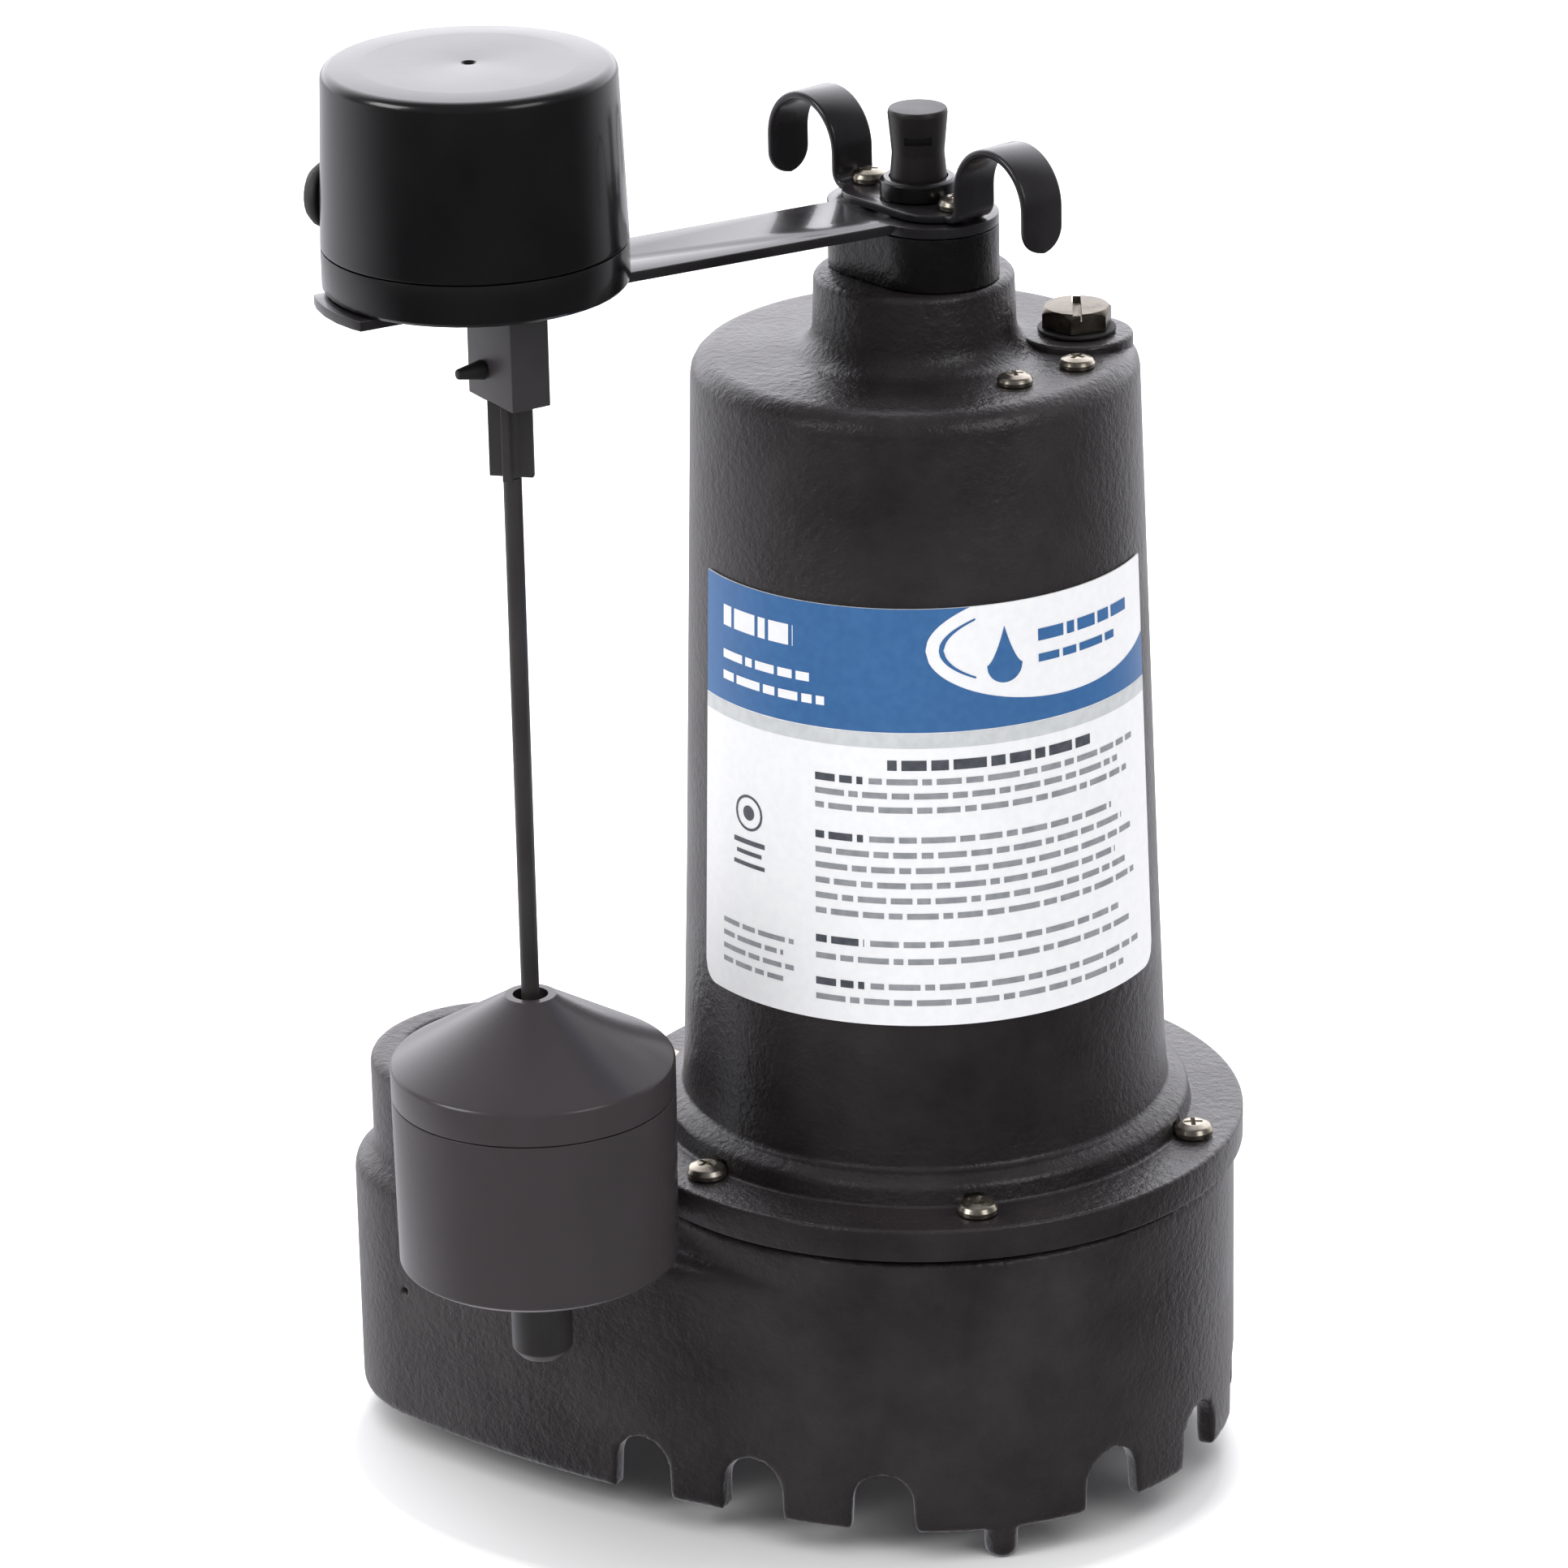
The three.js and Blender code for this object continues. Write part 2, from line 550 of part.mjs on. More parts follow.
add(pump, "stator_core", ring(ROTOR_R + 0.8, STATOR_R, CORE_BOTTOM, CORE_TOP, 32), MATERIALS.steel);
for (const [name, bottom, top] of [
  ["stator_winding_lower", CORE_BOTTOM - 23, CORE_BOTTOM - GAP],
  ["stator_winding_upper", CORE_TOP + GAP, CORE_TOP + 24],
]) {
  const coil = turned([[31, bottom + 4], [34, bottom], [43, bottom], [47, bottom + 4], [47, top], [31, top]], 32);
  add(pump, name, coil, MATERIALS.copper);
}

const sealPlate = turned(
  [
    [SHAFT_R + 1.2, 76],
    [14.3, 76],
    [14.3, PLATE_SEAT + GAP],
    [PLATE_R, PLATE_SEAT + GAP],
    [PLATE_R, FLANGE_BOTTOM - GAP],
    [54.9, FLANGE_BOTTOM - GAP],
    [54.9, 90],
    [47, 90],
    [47, 84],
    [22, 84],
    [22, 96],
    [BEARING_R + 0.3, 96],
    [BEARING_R + 0.3, 85],
    [SHAFT_R + 1.2, 85],
  ],
  ROUND,
);
add(pump, "seal_plate", sealPlate, MATERIALS.castIron);

for (const [name, bottom] of [["lower_bearing", 85.3], ["upper_bearing", 260]]) {
  add(pump, `${name}_outer`, ring(12.4, BEARING_R, bottom, bottom + 10), MATERIALS.steel);
}
add(pump, "shaft_seal_seat", ring(SHAFT_R + 1, 13.9, 71, 75.7), MATERIALS.ceramic);

// Start capacitor, thermal protector and cord connector in the top of the housing
const capacitorGroup = groupAt(pump, ...polar(34, -29));
add(capacitorGroup, "capacitor", rod(12, 236, 276), MATERIALS.aluminium);
add(capacitorGroup, "capacitor_clamp", ring(12.4, 13.9, 250, 262), MATERIALS.steel);
const protectorGroup = groupAt(pump, ...polar(36, 120), 120);
add(protectorGroup, "thermal_protector", block(-5, 5, -11, 11, 236, 262), MATERIALS.darkPlastic);
add(pump, "cord_connector", rod(8, 286, 299.4), MATERIALS.darkPlastic);

// ---------------------------------------------------------------- rotor

add(pump, "motor_shaft", rod(SHAFT_R, 45, 275), MATERIALS.steel);
const rotorCore = ring(SHAFT_R + GAP, ROTOR_R, CORE_BOTTOM - 6, CORE_TOP + 6, 32);
add(pump, "rotor_core", rotorCore, MATERIALS.steel);
for (const [name, bottom] of [["lower_bearing", 85.3], ["upper_bearing", 260]]) {
  add(pump, `${name}_inner`, ring(SHAFT_R + GAP, 11.4, bottom, bottom + 10), MATERIALS.steel);
}
add(pump, "shaft_seal_ring", ring(SHAFT_R + GAP, 12, 67.4, 70.6), MATERIALS.ceramic);
add(pump, "shaft_seal_bellows", ring(SHAFT_R + GAP, 10.6, 64.4, 67.1), MATERIALS.rubber);
add(pump, "impeller_nut", rod(9.5, 43.6, 49.4, 6).subtract(rod(SHAFT_R + GAP, 43, 50)), MATERIALS.steel);

function impeller() {
  const wheel = ring(SHAFT_R + GAP, 50, 60, 64, 36).add(ring(SHAFT_R + GAP, 13, 50, 62, FINE));
  const vane = block(10, 49, -1.5, 1.5, 47.5, 61).rotate([0, 0, 34]);
  const swept = at(vane, 3, -9);
  return joined([wheel, ...[0, 1, 2, 3, 4].map((i) => swept.rotate([0, 0, 72 * i]))])
    .intersect(rod(50, 40, 70, 36))
    .subtract(rod(SHAFT_R + GAP, 40, 70));
}
add(pump, "impeller", impeller(), MATERIALS.darkPlastic);

// ---------------------------------------------------------------- float switch head

const head = groupAt(pump, SWITCH_X, SWITCH_Y, STEM_ANGLE);
const baseBottom = bracketTop + GAP;
const baseFloor = baseBottom + 3;

function switchBase() {
  const shell = turned(
    [
      [0, baseBottom],
      [SWITCH_R - 0.6, baseBottom],
      [SWITCH_R, baseBottom + 0.8],
      [SWITCH_R, SWITCH_SEAM],
      [SWITCH_R - 2.6, SWITCH_SEAM],
      [SWITCH_R - 2.6, baseFloor],
      [0, baseFloor],
    ],
    ROUND,
  );
  const pinX = STEM_OFFSET - LEVER_ARM;
  const cheeks = [5, -8].map((y) => block(pinX - 8, pinX + 3, y, y + 3, baseFloor - 1, LEVER_Z + 6));
  const crossHole = new THREE.CylinderGeometry(1.4, 1.4, 30, 12).translate(pinX, 0, 0);
  const place = new THREE.Vector3(SWITCH_X, SWITCH_Y, 0);
  const mountHoles = mountScrewPlaces.map(([x, y]) => {
    const local = new THREE.Vector3(x, y, 0).sub(place).applyAxisAngle(new THREE.Vector3(0, 0, 1), -rad(STEM_ANGLE));
    return at(rod(2.1, baseBottom - 1, baseFloor + 8, 12), local.x, local.y);
  });
  return cut(joined([shell, ...cheeks]), [
    at(solid(crossHole), 0, 0, LEVER_Z),
    at(rod(4, baseBottom - 1, baseFloor + 1), STEM_OFFSET, 0),
    ...mountHoles,
  ]);
}
add(head, "switch_base", switchBase(), MATERIALS.glossPlastic);

function switchCap() {
  const wall = 2.2;
  const bottom = SWITCH_SEAM + GAP;
  const round = 4;
  const shell = turned(
    [
      [SWITCH_R, bottom],
      ...arc(SWITCH_TOP_R - round, SWITCH_TOP - round, round, 0, 90),
      [0, SWITCH_TOP],
      [0, SWITCH_TOP - wall],
      ...arc(SWITCH_TOP_R - round, SWITCH_TOP - round, round - wall, 90, 0, 3),
      [SWITCH_R - wall, bottom],
    ],
    ROUND,
  );
  const cordHole = new THREE.CylinderGeometry(6, 6, 16, 16).rotateZ(Math.PI / 2).translate(SWITCH_R, 0, GROMMET_Z);
  return shell.subtract(solid(cordHole).rotate([0, 0, GROMMET_ANGLE - STEM_ANGLE]));
}
add(head, "switch_cap", switchCap(), MATERIALS.glossPlastic);

// The grommet lies across the cap's wall.
const grommetBody = turned([
  [3.4, 0],
  [5.6, 0],
  [5.6, 5.6],
  [7.8, 5.6],
  [7.8, 7.2],
  [5.6, 9.6],
  [3.4, 9.6],
]);
const grommetGroup = groupAt(pump, SWITCH_X, SWITCH_Y, GROMMET_ANGLE);
add(grommetGroup, "switch_cord_grommet", at(grommetBody.rotate([0, 90, 0]), 31, 0, GROMMET_Z), MATERIALS.rubber);

const stem = groupAt(head, STEM_OFFSET, 0);
const stemTop = baseBottom - GAP;
const guideSlots = finCross(COUPLER_REACH + 0.2, 1.2, STEM_BOTTOM - 1, 320);
const stemBlock = cut(stemBox(0, STEM_BOTTOM, stemTop), [guideSlots, rod(3.2, STEM_BOTTOM, stemTop + 1)]);
add(stem, "guide_stem", stemBlock, MATERIALS.satinPlastic);
const pin = new THREE.CylinderGeometry(2.5, 1.2, 7, 14).translate(-2.6, STEM_WIDTH / -2 - 3.5 - GAP, 308.5);
add(stem, "guide_stem_pin", solid(pin), MATERIALS.rubber);

const mountScrew = screw(4.2, 2.4, 1.8, 9, 1).rotate([180, 0, 0]);
mountScrewPlaces.forEach(([x, y], i) => {
  const mesh = add(pump, `switch_mount_screw_${i + 1}`, mountScrew, MATERIALS.zinc);
  mesh.position.set(x, y, bracketBottom - GAP);
});

// Snap switch worked by a lever over the plunger
const pinX = STEM_OFFSET - LEVER_ARM;
const buttonX = pinX + 6;
const leverPin = new THREE.CylinderGeometry(1.1, 1.1, 16, 12).translate(pinX, 0, LEVER_Z);
add(head, "lever_pin", solid(leverPin), MATERIALS.steel);
const leverEye = new THREE.CylinderGeometry(2.3, 2.3, 8, 16).translate(pinX, 0, LEVER_Z);
const leverBore = new THREE.CylinderGeometry(1.4, 1.4, 10, 12).translate(pinX, 0, LEVER_Z);
const leverBlade = block(pinX, pinX + LEVER_ARM + 3.6, -4, 4, LEVER_Z - 0.8, LEVER_Z + 0.8);
add(head, "switch_lever", leverBlade.add(solid(leverEye)).subtract(solid(leverBore)), MATERIALS.steel);
const switchBody = block(pinX - 8, pinX + 11.6, -8, 8, LEVER_Z + 6.5, LEVER_Z + 20.5);
const buttonWell = at(rod(1.6, LEVER_Z + 6, LEVER_Z + 13, 12), buttonX, 0);
add(head, "snap_switch", switchBody.subtract(buttonWell), MATERIALS.darkPlastic);
const button = at(rod(1.2, LEVER_Z + 1.3, LEVER_Z + 9.5, 12), buttonX, 0);
add(head, "snap_switch_button", button, MATERIALS.rubber);

// ---------------------------------------------------------------- rod and float

const line = groupAt(pump, ROD_X, ROD_Y, STEM_ANGLE);
const cross = finCross(COUPLER_REACH, 1, COUPLER_BOTTOM, 310);
const plunger = rod(2.3, COUPLER_BOTTOM, LEVER_Z - 1.4, 12);
add(line, "rod_coupler", cross.add(plunger), MATERIALS.darkPlastic);
add(line, "float_rod", rod(ROD_R, STOP_BOTTOM + 3.4, COUPLER_BOTTOM - GAP, 16), MATERIALS.darkPlastic);
const stopProfile = [
  [0, STOP_BOTTOM],
  [STOP_R - 2, STOP_BOTTOM],
  [STOP_R, STOP_BOTTOM + 2],
  [STOP_R, FLOAT_BOTTOM - GAP],
  [ROD_R + GAP, FLOAT_BOTTOM - GAP],
  [ROD_R + GAP, STOP_BOTTOM + 3],
  [0, STOP_BOTTOM + 3],
];
add(line, "rod_end_stop", turned(stopProfile), MATERIALS.darkPlastic);

const lowerShell = turned(
  [
    [FLOAT_BORE_R, FLOAT_BOTTOM],
    [FLOAT_BOTTOM_R - 1, FLOAT_BOTTOM],
    [FLOAT_BOTTOM_R, FLOAT_BOTTOM + 1],
    [FLOAT_R, FLOAT_SEAM],
    [FLOAT_R - 2, FLOAT_SEAM],
    [FLOAT_BOTTOM_R - 2, FLOAT_BOTTOM + 2.5],
    [FLOAT_BORE_R + 1.8, FLOAT_BOTTOM + 2.5],
    [FLOAT_BORE_R + 1.8, FLOAT_SEAM],
    [FLOAT_BORE_R, FLOAT_SEAM],
  ],
  40,
);
add(line, "float_lower_shell", lowerShell, MATERIALS.satinPlastic);
const upperShell = turned(
  [
    [FLOAT_R, FLOAT_SEAM + GAP],
    [FLOAT_R, FLOAT_SHOULDER - 1.5],
    [FLOAT_R - 1.4, FLOAT_SHOULDER],
    [6.6, FLOAT_TOP - 0.6],
    [6, FLOAT_TOP],
    [FLOAT_BORE_R, FLOAT_TOP],
    [FLOAT_BORE_R, FLOAT_TOP - 5],
    [FLOAT_R - 2.4, FLOAT_SHOULDER - 2.4],
    [FLOAT_R - 2.2, FLOAT_SEAM + GAP],
  ],
  40,
);
add(line, "float_upper_shell", upperShell, MATERIALS.satinPlastic);

// ---------------------------------------------------------------- origin at the bottom centre of the box

const box = new THREE.Box3().setFromObject(pump, true);
const centre = box.getCenter(new THREE.Vector3());
pump.position.set(-centre.x, -centre.y, -box.min.z);

export default pump;
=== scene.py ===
"""Looks for a submersible sump pump with a float switch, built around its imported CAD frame."""

import json
import math

import bmesh
import bpy
from mathutils import Matrix, Vector


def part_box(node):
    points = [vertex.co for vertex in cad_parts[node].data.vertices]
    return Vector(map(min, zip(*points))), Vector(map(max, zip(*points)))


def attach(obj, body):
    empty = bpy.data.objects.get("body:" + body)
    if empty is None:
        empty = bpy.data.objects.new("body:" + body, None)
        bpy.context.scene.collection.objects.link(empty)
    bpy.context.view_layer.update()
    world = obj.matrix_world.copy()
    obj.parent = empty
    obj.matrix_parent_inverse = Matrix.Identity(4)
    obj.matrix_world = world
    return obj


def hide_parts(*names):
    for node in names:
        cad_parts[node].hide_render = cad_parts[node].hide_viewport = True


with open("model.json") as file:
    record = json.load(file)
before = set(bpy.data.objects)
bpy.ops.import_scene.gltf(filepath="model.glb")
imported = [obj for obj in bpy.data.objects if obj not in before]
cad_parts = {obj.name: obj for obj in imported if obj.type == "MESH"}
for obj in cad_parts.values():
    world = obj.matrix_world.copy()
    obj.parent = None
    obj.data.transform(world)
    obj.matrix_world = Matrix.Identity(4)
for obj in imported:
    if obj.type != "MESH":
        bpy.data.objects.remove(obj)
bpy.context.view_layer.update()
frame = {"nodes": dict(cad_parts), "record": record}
NODES = frame["nodes"]

# ------------------------------------------------------------------ places, from the frame, in millimetres

MM = 0.001


def node_box(name):
    """Lowest and highest corner of a CAD node, in millimetres."""
    low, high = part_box(name)
    return low / MM, high / MM


def node_axis(name):
    """Middle of a CAD node in plan, in millimetres."""
    low, high = node_box(name)
    return (low.x + high.x) / 2, (low.y + high.y) / 2


def bearing(origin, point):
    """Plan angle from one point to another, in degrees."""
    return math.degrees(math.atan2(point[1] - origin[1], point[0] - origin[0]))


def polar(radius, degrees, centre=(0, 0)):
    """Plan point at a distance and angle from a centre."""
    angle = math.radians(degrees)
    return centre[0] + radius * math.cos(angle), centre[1] + radius * math.sin(angle)


MOTOR = node_axis("motor_shaft")
SWITCH = node_axis("switch_cap")
ROD = node_axis("float_rod")
PLUG = node_axis("oil_plug")
GLAND = node_axis("cord_gland")
STRAP_SCREWS = [node_axis(f"strap_screw_{i}") for i in (1, 2)]
HORN_ANGLE = bearing(node_axis("strap_screw_1"), node_axis("strap_screw_2"))

base_low, base_high = node_box("volute_base")
housing_low, housing_high = node_box("motor_housing")
cap_low, cap_high = node_box("switch_cap")
handle_low, handle_high = node_box("carry_handle")

# ------------------------------------------------------------------ materials

PAINT = (0.017, 0.0145, 0.0152)
PAINT_DARK = (0.0135, 0.0112, 0.0118)
PAINT_LIGHT = (0.0265, 0.0225, 0.0235)


def new_material(name, color, roughness, metallic=0.0, coat=0.0, coat_roughness=0.1):
    """A principled material with its node tree and its shader."""
    material = bpy.data.materials.new(name)
    material.use_nodes = True
    tree = material.node_tree
    shader = tree.nodes["Principled BSDF"]
    shader.inputs["Base Color"].default_value = (*color, 1)
    shader.inputs["Roughness"].default_value = roughness
    shader.inputs["Metallic"].default_value = metallic
    shader.inputs["Coat Weight"].default_value = coat
    shader.inputs["Coat Roughness"].default_value = coat_roughness
    material.diffuse_color = (*color, 1)
    return material, tree, shader


def noise(tree, scale, detail=3.0, roughness=0.55, stretch=(1, 1, 1)):
    """A noise texture in the row frame: scale is in features per metre."""
    place = tree.nodes.new("ShaderNodeTexCoord")
    mapping = tree.nodes.new("ShaderNodeMapping")
    mapping.inputs["Scale"].default_value = stretch
    texture = tree.nodes.new("ShaderNodeTexNoise")
    texture.inputs["Scale"].default_value = scale
    texture.inputs["Detail"].default_value = detail
    texture.inputs["Roughness"].default_value = roughness
    tree.links.new(place.outputs["Object"], mapping.inputs["Vector"])
    tree.links.new(mapping.outputs["Vector"], texture.inputs["Vector"])
    return texture.outputs["Fac"]


def spread(tree, value, low, high, start=0.3, end=0.7):
    """The value remapped from start..end to low..high."""
    node = tree.nodes.new("ShaderNodeMapRange")
    node.inputs["From Min"].default_value = start
    node.inputs["From Max"].default_value = end
    node.inputs["To Min"].default_value = low
    node.inputs["To Max"].default_value = high
    tree.links.new(value, node.inputs["Value"])
    return node.outputs["Result"]


def tint(tree, value, dark, light, start=0.35, end=0.65):
    """A colour between dark and light, by the value."""
    ramp = tree.nodes.new("ShaderNodeValToRGB")
    ramp.color_ramp.elements[0].position = start
    ramp.color_ramp.elements[0].color = (*dark, 1)
    ramp.color_ramp.elements[1].position = end
    ramp.color_ramp.elements[1].color = (*light, 1)
    tree.links.new(value, ramp.inputs["Fac"])
    return ramp.outputs["Color"]


def bump(tree, shader, layers):
    """Stacked bumps on a shader: each layer is a value, a depth in metres and a strength."""
    normal = None
    for value, depth, strength in layers:
        node = tree.nodes.new("ShaderNodeBump")
        node.inputs["Distance"].default_value = depth
        node.inputs["Strength"].default_value = strength
        tree.links.new(value, node.inputs["Height"])
        if normal:
            tree.links.new(normal, node.inputs["Normal"])
        normal = node.outputs["Normal"]
    tree.links.new(normal, shader.inputs["Normal"])


def cast_paint(name, grain, gloss, coat, tone=1.0):
    """Black enamel over sand-cast iron: fine pits, soft lumps and dust-dulled patches."""
    material, tree, shader = new_material(name, PAINT, gloss, coat=coat, coat_roughness=0.22)
    lumps = noise(tree, 80, 2.0, 0.5)
    pits = noise(tree, 480, 3.0, 0.6)
    fine = noise(tree, 1300, 2.0, 0.6)
    patches = noise(tree, 24, 6.0, 0.65)
    # The tone scales the paint's brightness; the neck's low tone is painted shade.
    dark, light = [tuple(tone * part for part in shade) for shade in (PAINT_DARK, PAINT_LIGHT)]
    color = tint(tree, patches, dark, light)
    tree.links.new(color, shader.inputs["Base Color"])
    tree.links.new(spread(tree, patches, gloss - 0.06, gloss + 0.12), shader.inputs["Roughness"])
    layers = [(lumps, 0.0014, 0.16), (pits, 0.0008 * grain, 0.45), (fine, 0.0003 * grain, 0.5)]
    bump(tree, shader, layers)
    coat_bump = tree.nodes.new("ShaderNodeBump")
    coat_bump.inputs["Distance"].default_value = 0.0009 * grain
    coat_bump.inputs["Strength"].default_value = 0.35
    tree.links.new(pits, coat_bump.inputs["Height"])
    tree.links.new(coat_bump.outputs["Normal"], shader.inputs["Coat Normal"])
    return material


def plastic(name, dark, light, roughness, scuff=0.06, depth=0.00004, coat=0.0):
    """Moulded plastic: faint flow marks, scuffs in the gloss and a very fine surface."""
    material, tree, shader = new_material(name, dark, roughness, coat=coat, coat_roughness=0.06)
    marks = noise(tree, 60, 2.0, 0.5, (1, 1, 0.6))
    fine = noise(tree, 900, 3.0, 0.5)
    tree.links.new(tint(tree, marks, dark, light), shader.inputs["Base Color"])
    tree.links.new(spread(tree, marks, roughness, roughness + scuff), shader.inputs["Roughness"])
    bump(tree, shader, [(noise(tree, 22, 2.0), 0.0005, 0.12), (fine, depth, 0.5)])
    return material


def metal(name, dark, light, roughness, stretch=(1, 1, 1), depth=0.00005, scale=300):
    """Plated or ground metal: tone drifts and fine tool marks."""
    material, tree, shader = new_material(name, dark, roughness, metallic=1.0)
    drift = noise(tree, 160, 4.0, 0.6)
    marks = noise(tree, scale, 3.0, 0.5, stretch)
    tree.links.new(tint(tree, drift, dark, light), shader.inputs["Base Color"])
    tree.links.new(spread(tree, drift, roughness - 0.05, roughness + 0.12), shader.inputs["Roughness"])
    bump(tree, shader, [(marks, depth, 0.5)])
    return material


def film(name, dark, light):
    """Printed label film: nearly even ink with faint print grain and a soft ripple."""
    roughness = 0.32
    material, tree, shader = new_material(name, dark, roughness, coat=0.25, coat_roughness=0.2)
    grain = noise(tree, 420, 3.0, 0.5)
    tree.links.new(tint(tree, grain, dark, light), shader.inputs["Base Color"])
    tree.links.new(spread(tree, grain, roughness, roughness + 0.06), shader.inputs["Roughness"])
    bump(tree, shader, [(noise(tree, 40, 2.0), 0.0002, 0.15)])
    return material


HOUSING_PAINT = cast_paint("housing_paint", 1.0, 0.36, 0.3)
BASE_PAINT = cast_paint("base_paint", 1.1, 0.38, 0.22, 1.3)
# The neck cap's enamel is the housing paint at a quarter of its brightness: painted shade standing in for
# the shade that falls on the neck.
NECK_PAINT_SHADE_DARKENED = cast_paint("neck_paint_shade_darkened", 0.8, 0.28, 0.15, 0.25)
STRAP_PAINT = plastic("strap_enamel", (0.009, 0.008, 0.009), (0.015, 0.0135, 0.015), 0.22, 0.08, coat=0.3)
GLOSS_DARK, GLOSS_LIGHT = (0.0042, 0.0038, 0.0042), (0.0062, 0.0056, 0.006)
GLOSS_BLACK = plastic("gloss_black_plastic", GLOSS_DARK, GLOSS_LIGHT, 0.2, 0.05, coat=0.3)
FLOAT_GREY = plastic("float_plastic", (0.041, 0.0362, 0.0388), (0.0435, 0.0383, 0.0412), 0.25, 0.012)
STEM_GREY = plastic("stem_plastic", (0.032, 0.029, 0.031), (0.040, 0.0365, 0.039), 0.38)
ROD_BLACK = plastic("rod_plastic", (0.026, 0.0235, 0.0238), (0.034, 0.031, 0.0315), 0.36)
RUBBER = plastic("rubber", (0.013, 0.012, 0.012), (0.02, 0.019, 0.019), 0.5, 0.15, 0.0001)
GLAND_RUBBER = plastic("gland_rubber", (0.011, 0.0095, 0.0095), (0.018, 0.0155, 0.0155), 0.34, 0.1, 0.0001)
ZINC = metal("zinc_plate", (0.33, 0.29, 0.23), (0.58, 0.54, 0.47), 0.26)
PLUG_METAL = metal("aged_plug_metal", (0.09, 0.077, 0.058), (0.27, 0.24, 0.195), 0.3)
STEEL = metal("ground_steel", (0.42, 0.42, 0.43), (0.58, 0.58, 0.59), 0.32, (1, 1, 12))
LAMINATION = metal("laminations", (0.30, 0.31, 0.33), (0.42, 0.43, 0.45), 0.45, (0.2, 0.2, 30), 0.0002, 60)
COPPER = metal("winding_copper", (0.48, 0.20, 0.09), (0.72, 0.36, 0.18), 0.35, (6, 6, 40), 0.0006, 50)
ALUMINIUM = metal("drawn_aluminium", (0.62, 0.62, 0.63), (0.74, 0.74, 0.75), 0.3, (1, 1, 0.1))
CERAMIC = plastic("seal_face", (0.52, 0.48, 0.40), (0.62, 0.58, 0.50), 0.18)
LABEL_WHITE = film("label_white", (0.77, 0.775, 0.79), (0.80, 0.805, 0.815))
LABEL_BLUE = film("label_blue", (0.024, 0.115, 0.30), (0.029, 0.13, 0.33))
LABEL_GREY = film("label_grey", (0.50, 0.52, 0.53), (0.56, 0.58, 0.59))
LABEL_INK = film("label_ink", (0.055, 0.060, 0.075), (0.085, 0.09, 0.11))
LABEL_PALE_INK = film("label_pale_ink", (0.22, 0.23, 0.25), (0.28, 0.29, 0.31))

# ------------------------------------------------------------------ mesh helpers

body_of_node = {}
for body_name, members in frame["record"]["behaviour"]["bodies"].items():
    for member in members:
        body_of_node[member] = body_name


def stand_for(piece, node):
    """The piece rides with a CAD node's body and is shown in its place."""
    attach(piece, body_of_node[node])
    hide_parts(node)


def mesh_object(name, vertices, faces, material=None, node=None, crease=35):
    """A smooth-shaded mesh from millimetre points; edges sharper than crease degrees stay crisp."""
    mesh = bpy.data.meshes.new(name)
    mesh.from_pydata([Vector(v) * MM for v in vertices], [], faces)
    clean = bmesh.new()
    clean.from_mesh(mesh)
    bmesh.ops.remove_doubles(clean, verts=clean.verts, dist=1e-6)
    bmesh.ops.recalc_face_normals(clean, faces=clean.faces)
    clean.to_mesh(mesh)
    clean.free()
    mesh.shade_smooth()
    mesh.set_sharp_from_angle(angle=math.radians(crease))
    if material:
        mesh.materials.append(material)
    piece = bpy.data.objects.new(name, mesh)
    bpy.context.scene.collection.objects.link(piece)
    if node:
        stand_for(piece, node)
    return piece


def rounded(profile, segments=5):
    """A closed or open outline with its corners rounded: each point is (x, y) or (x, y, radius)."""
    points = []
    count = len(profile)
    for i, corner in enumerate(profile):
        here = Vector(corner[:2])
        radius = corner[2] if len(corner) > 2 else 0
        before = Vector(profile[i - 1][:2]) - here
        after = Vector(profile[(i + 1) % count][:2]) - here
        if not radius or before.length < 1e-6 or after.length < 1e-6:
            points.append((here.x, here.y))
            continue
        half = before.angle(after) / 2
        setback = min(radius / math.tan(half), before.length * 0.499, after.length * 0.499)
        radius = setback * math.tan(half)
        start = here + before.normalized() * setback
        end = here + after.normalized() * setback
        centre = here + (before.normalized() + after.normalized()).normalized() * (radius / math.sin(half))
        first, last = start - centre, end - centre
        sweep = first.angle_signed(last) if first.length and last.length else 0
        for k in range(segments + 1):
            spoke = first.copy()
            spoke.rotate(Matrix.Rotation(-sweep * k / segments, 2))
            points.append((centre.x + spoke.x, centre.y + spoke.y))
    return points


def lathe(profile, centre, steps=96):
    """Vertices and faces of a closed [radius, z] loop turned about a vertical axis."""
    vertices, rings = [], []
    for radius, z in profile:
        if radius < 1e-6:
            rings.append([len(vertices)] * steps)
            vertices.append((centre[0], centre[1], z))
            continue
        rings.append(list(range(len(vertices), len(vertices) + steps)))
        for k in range(steps):
            x, y = polar(radius, 360 * k / steps, centre)
            vertices.append((x, y, z))
    faces = []
    for i, ring in enumerate(rings):
        following = rings[(i + 1) % len(rings)]
        for k in range(steps):
            j = (k + 1) % steps
            face = []
            for v in (ring[k], ring[j], following[j], following[k]):
                if v not in face:
                    face.append(v)
            if len(face) > 2:
                faces.append(face)
    return vertices, faces


def turned(name, profile, centre, material=None, node=None, steps=96, crease=35):
    """A solid of revolution from a [radius, z] outline with rounded corners."""
    vertices, faces = lathe(rounded(profile), centre, steps)
    return mesh_object(name, vertices, faces, material, node, crease)


def loft(sections):
    """Vertices and faces through equal-length loops of points, with both ends closed."""
    vertices = [p for loop in sections for p in loop]
    n = len(sections[0])
    faces = []
    for i in range(len(sections) - 1):
        for k in range(n):
            j = (k + 1) % n
            faces.append([i * n + k, i * n + j, (i + 1) * n + j, (i + 1) * n + k])
    faces.append(list(range(n))[::-1])
    faces.append([(len(sections) - 1) * n + k for k in range(n)])
    return vertices, faces


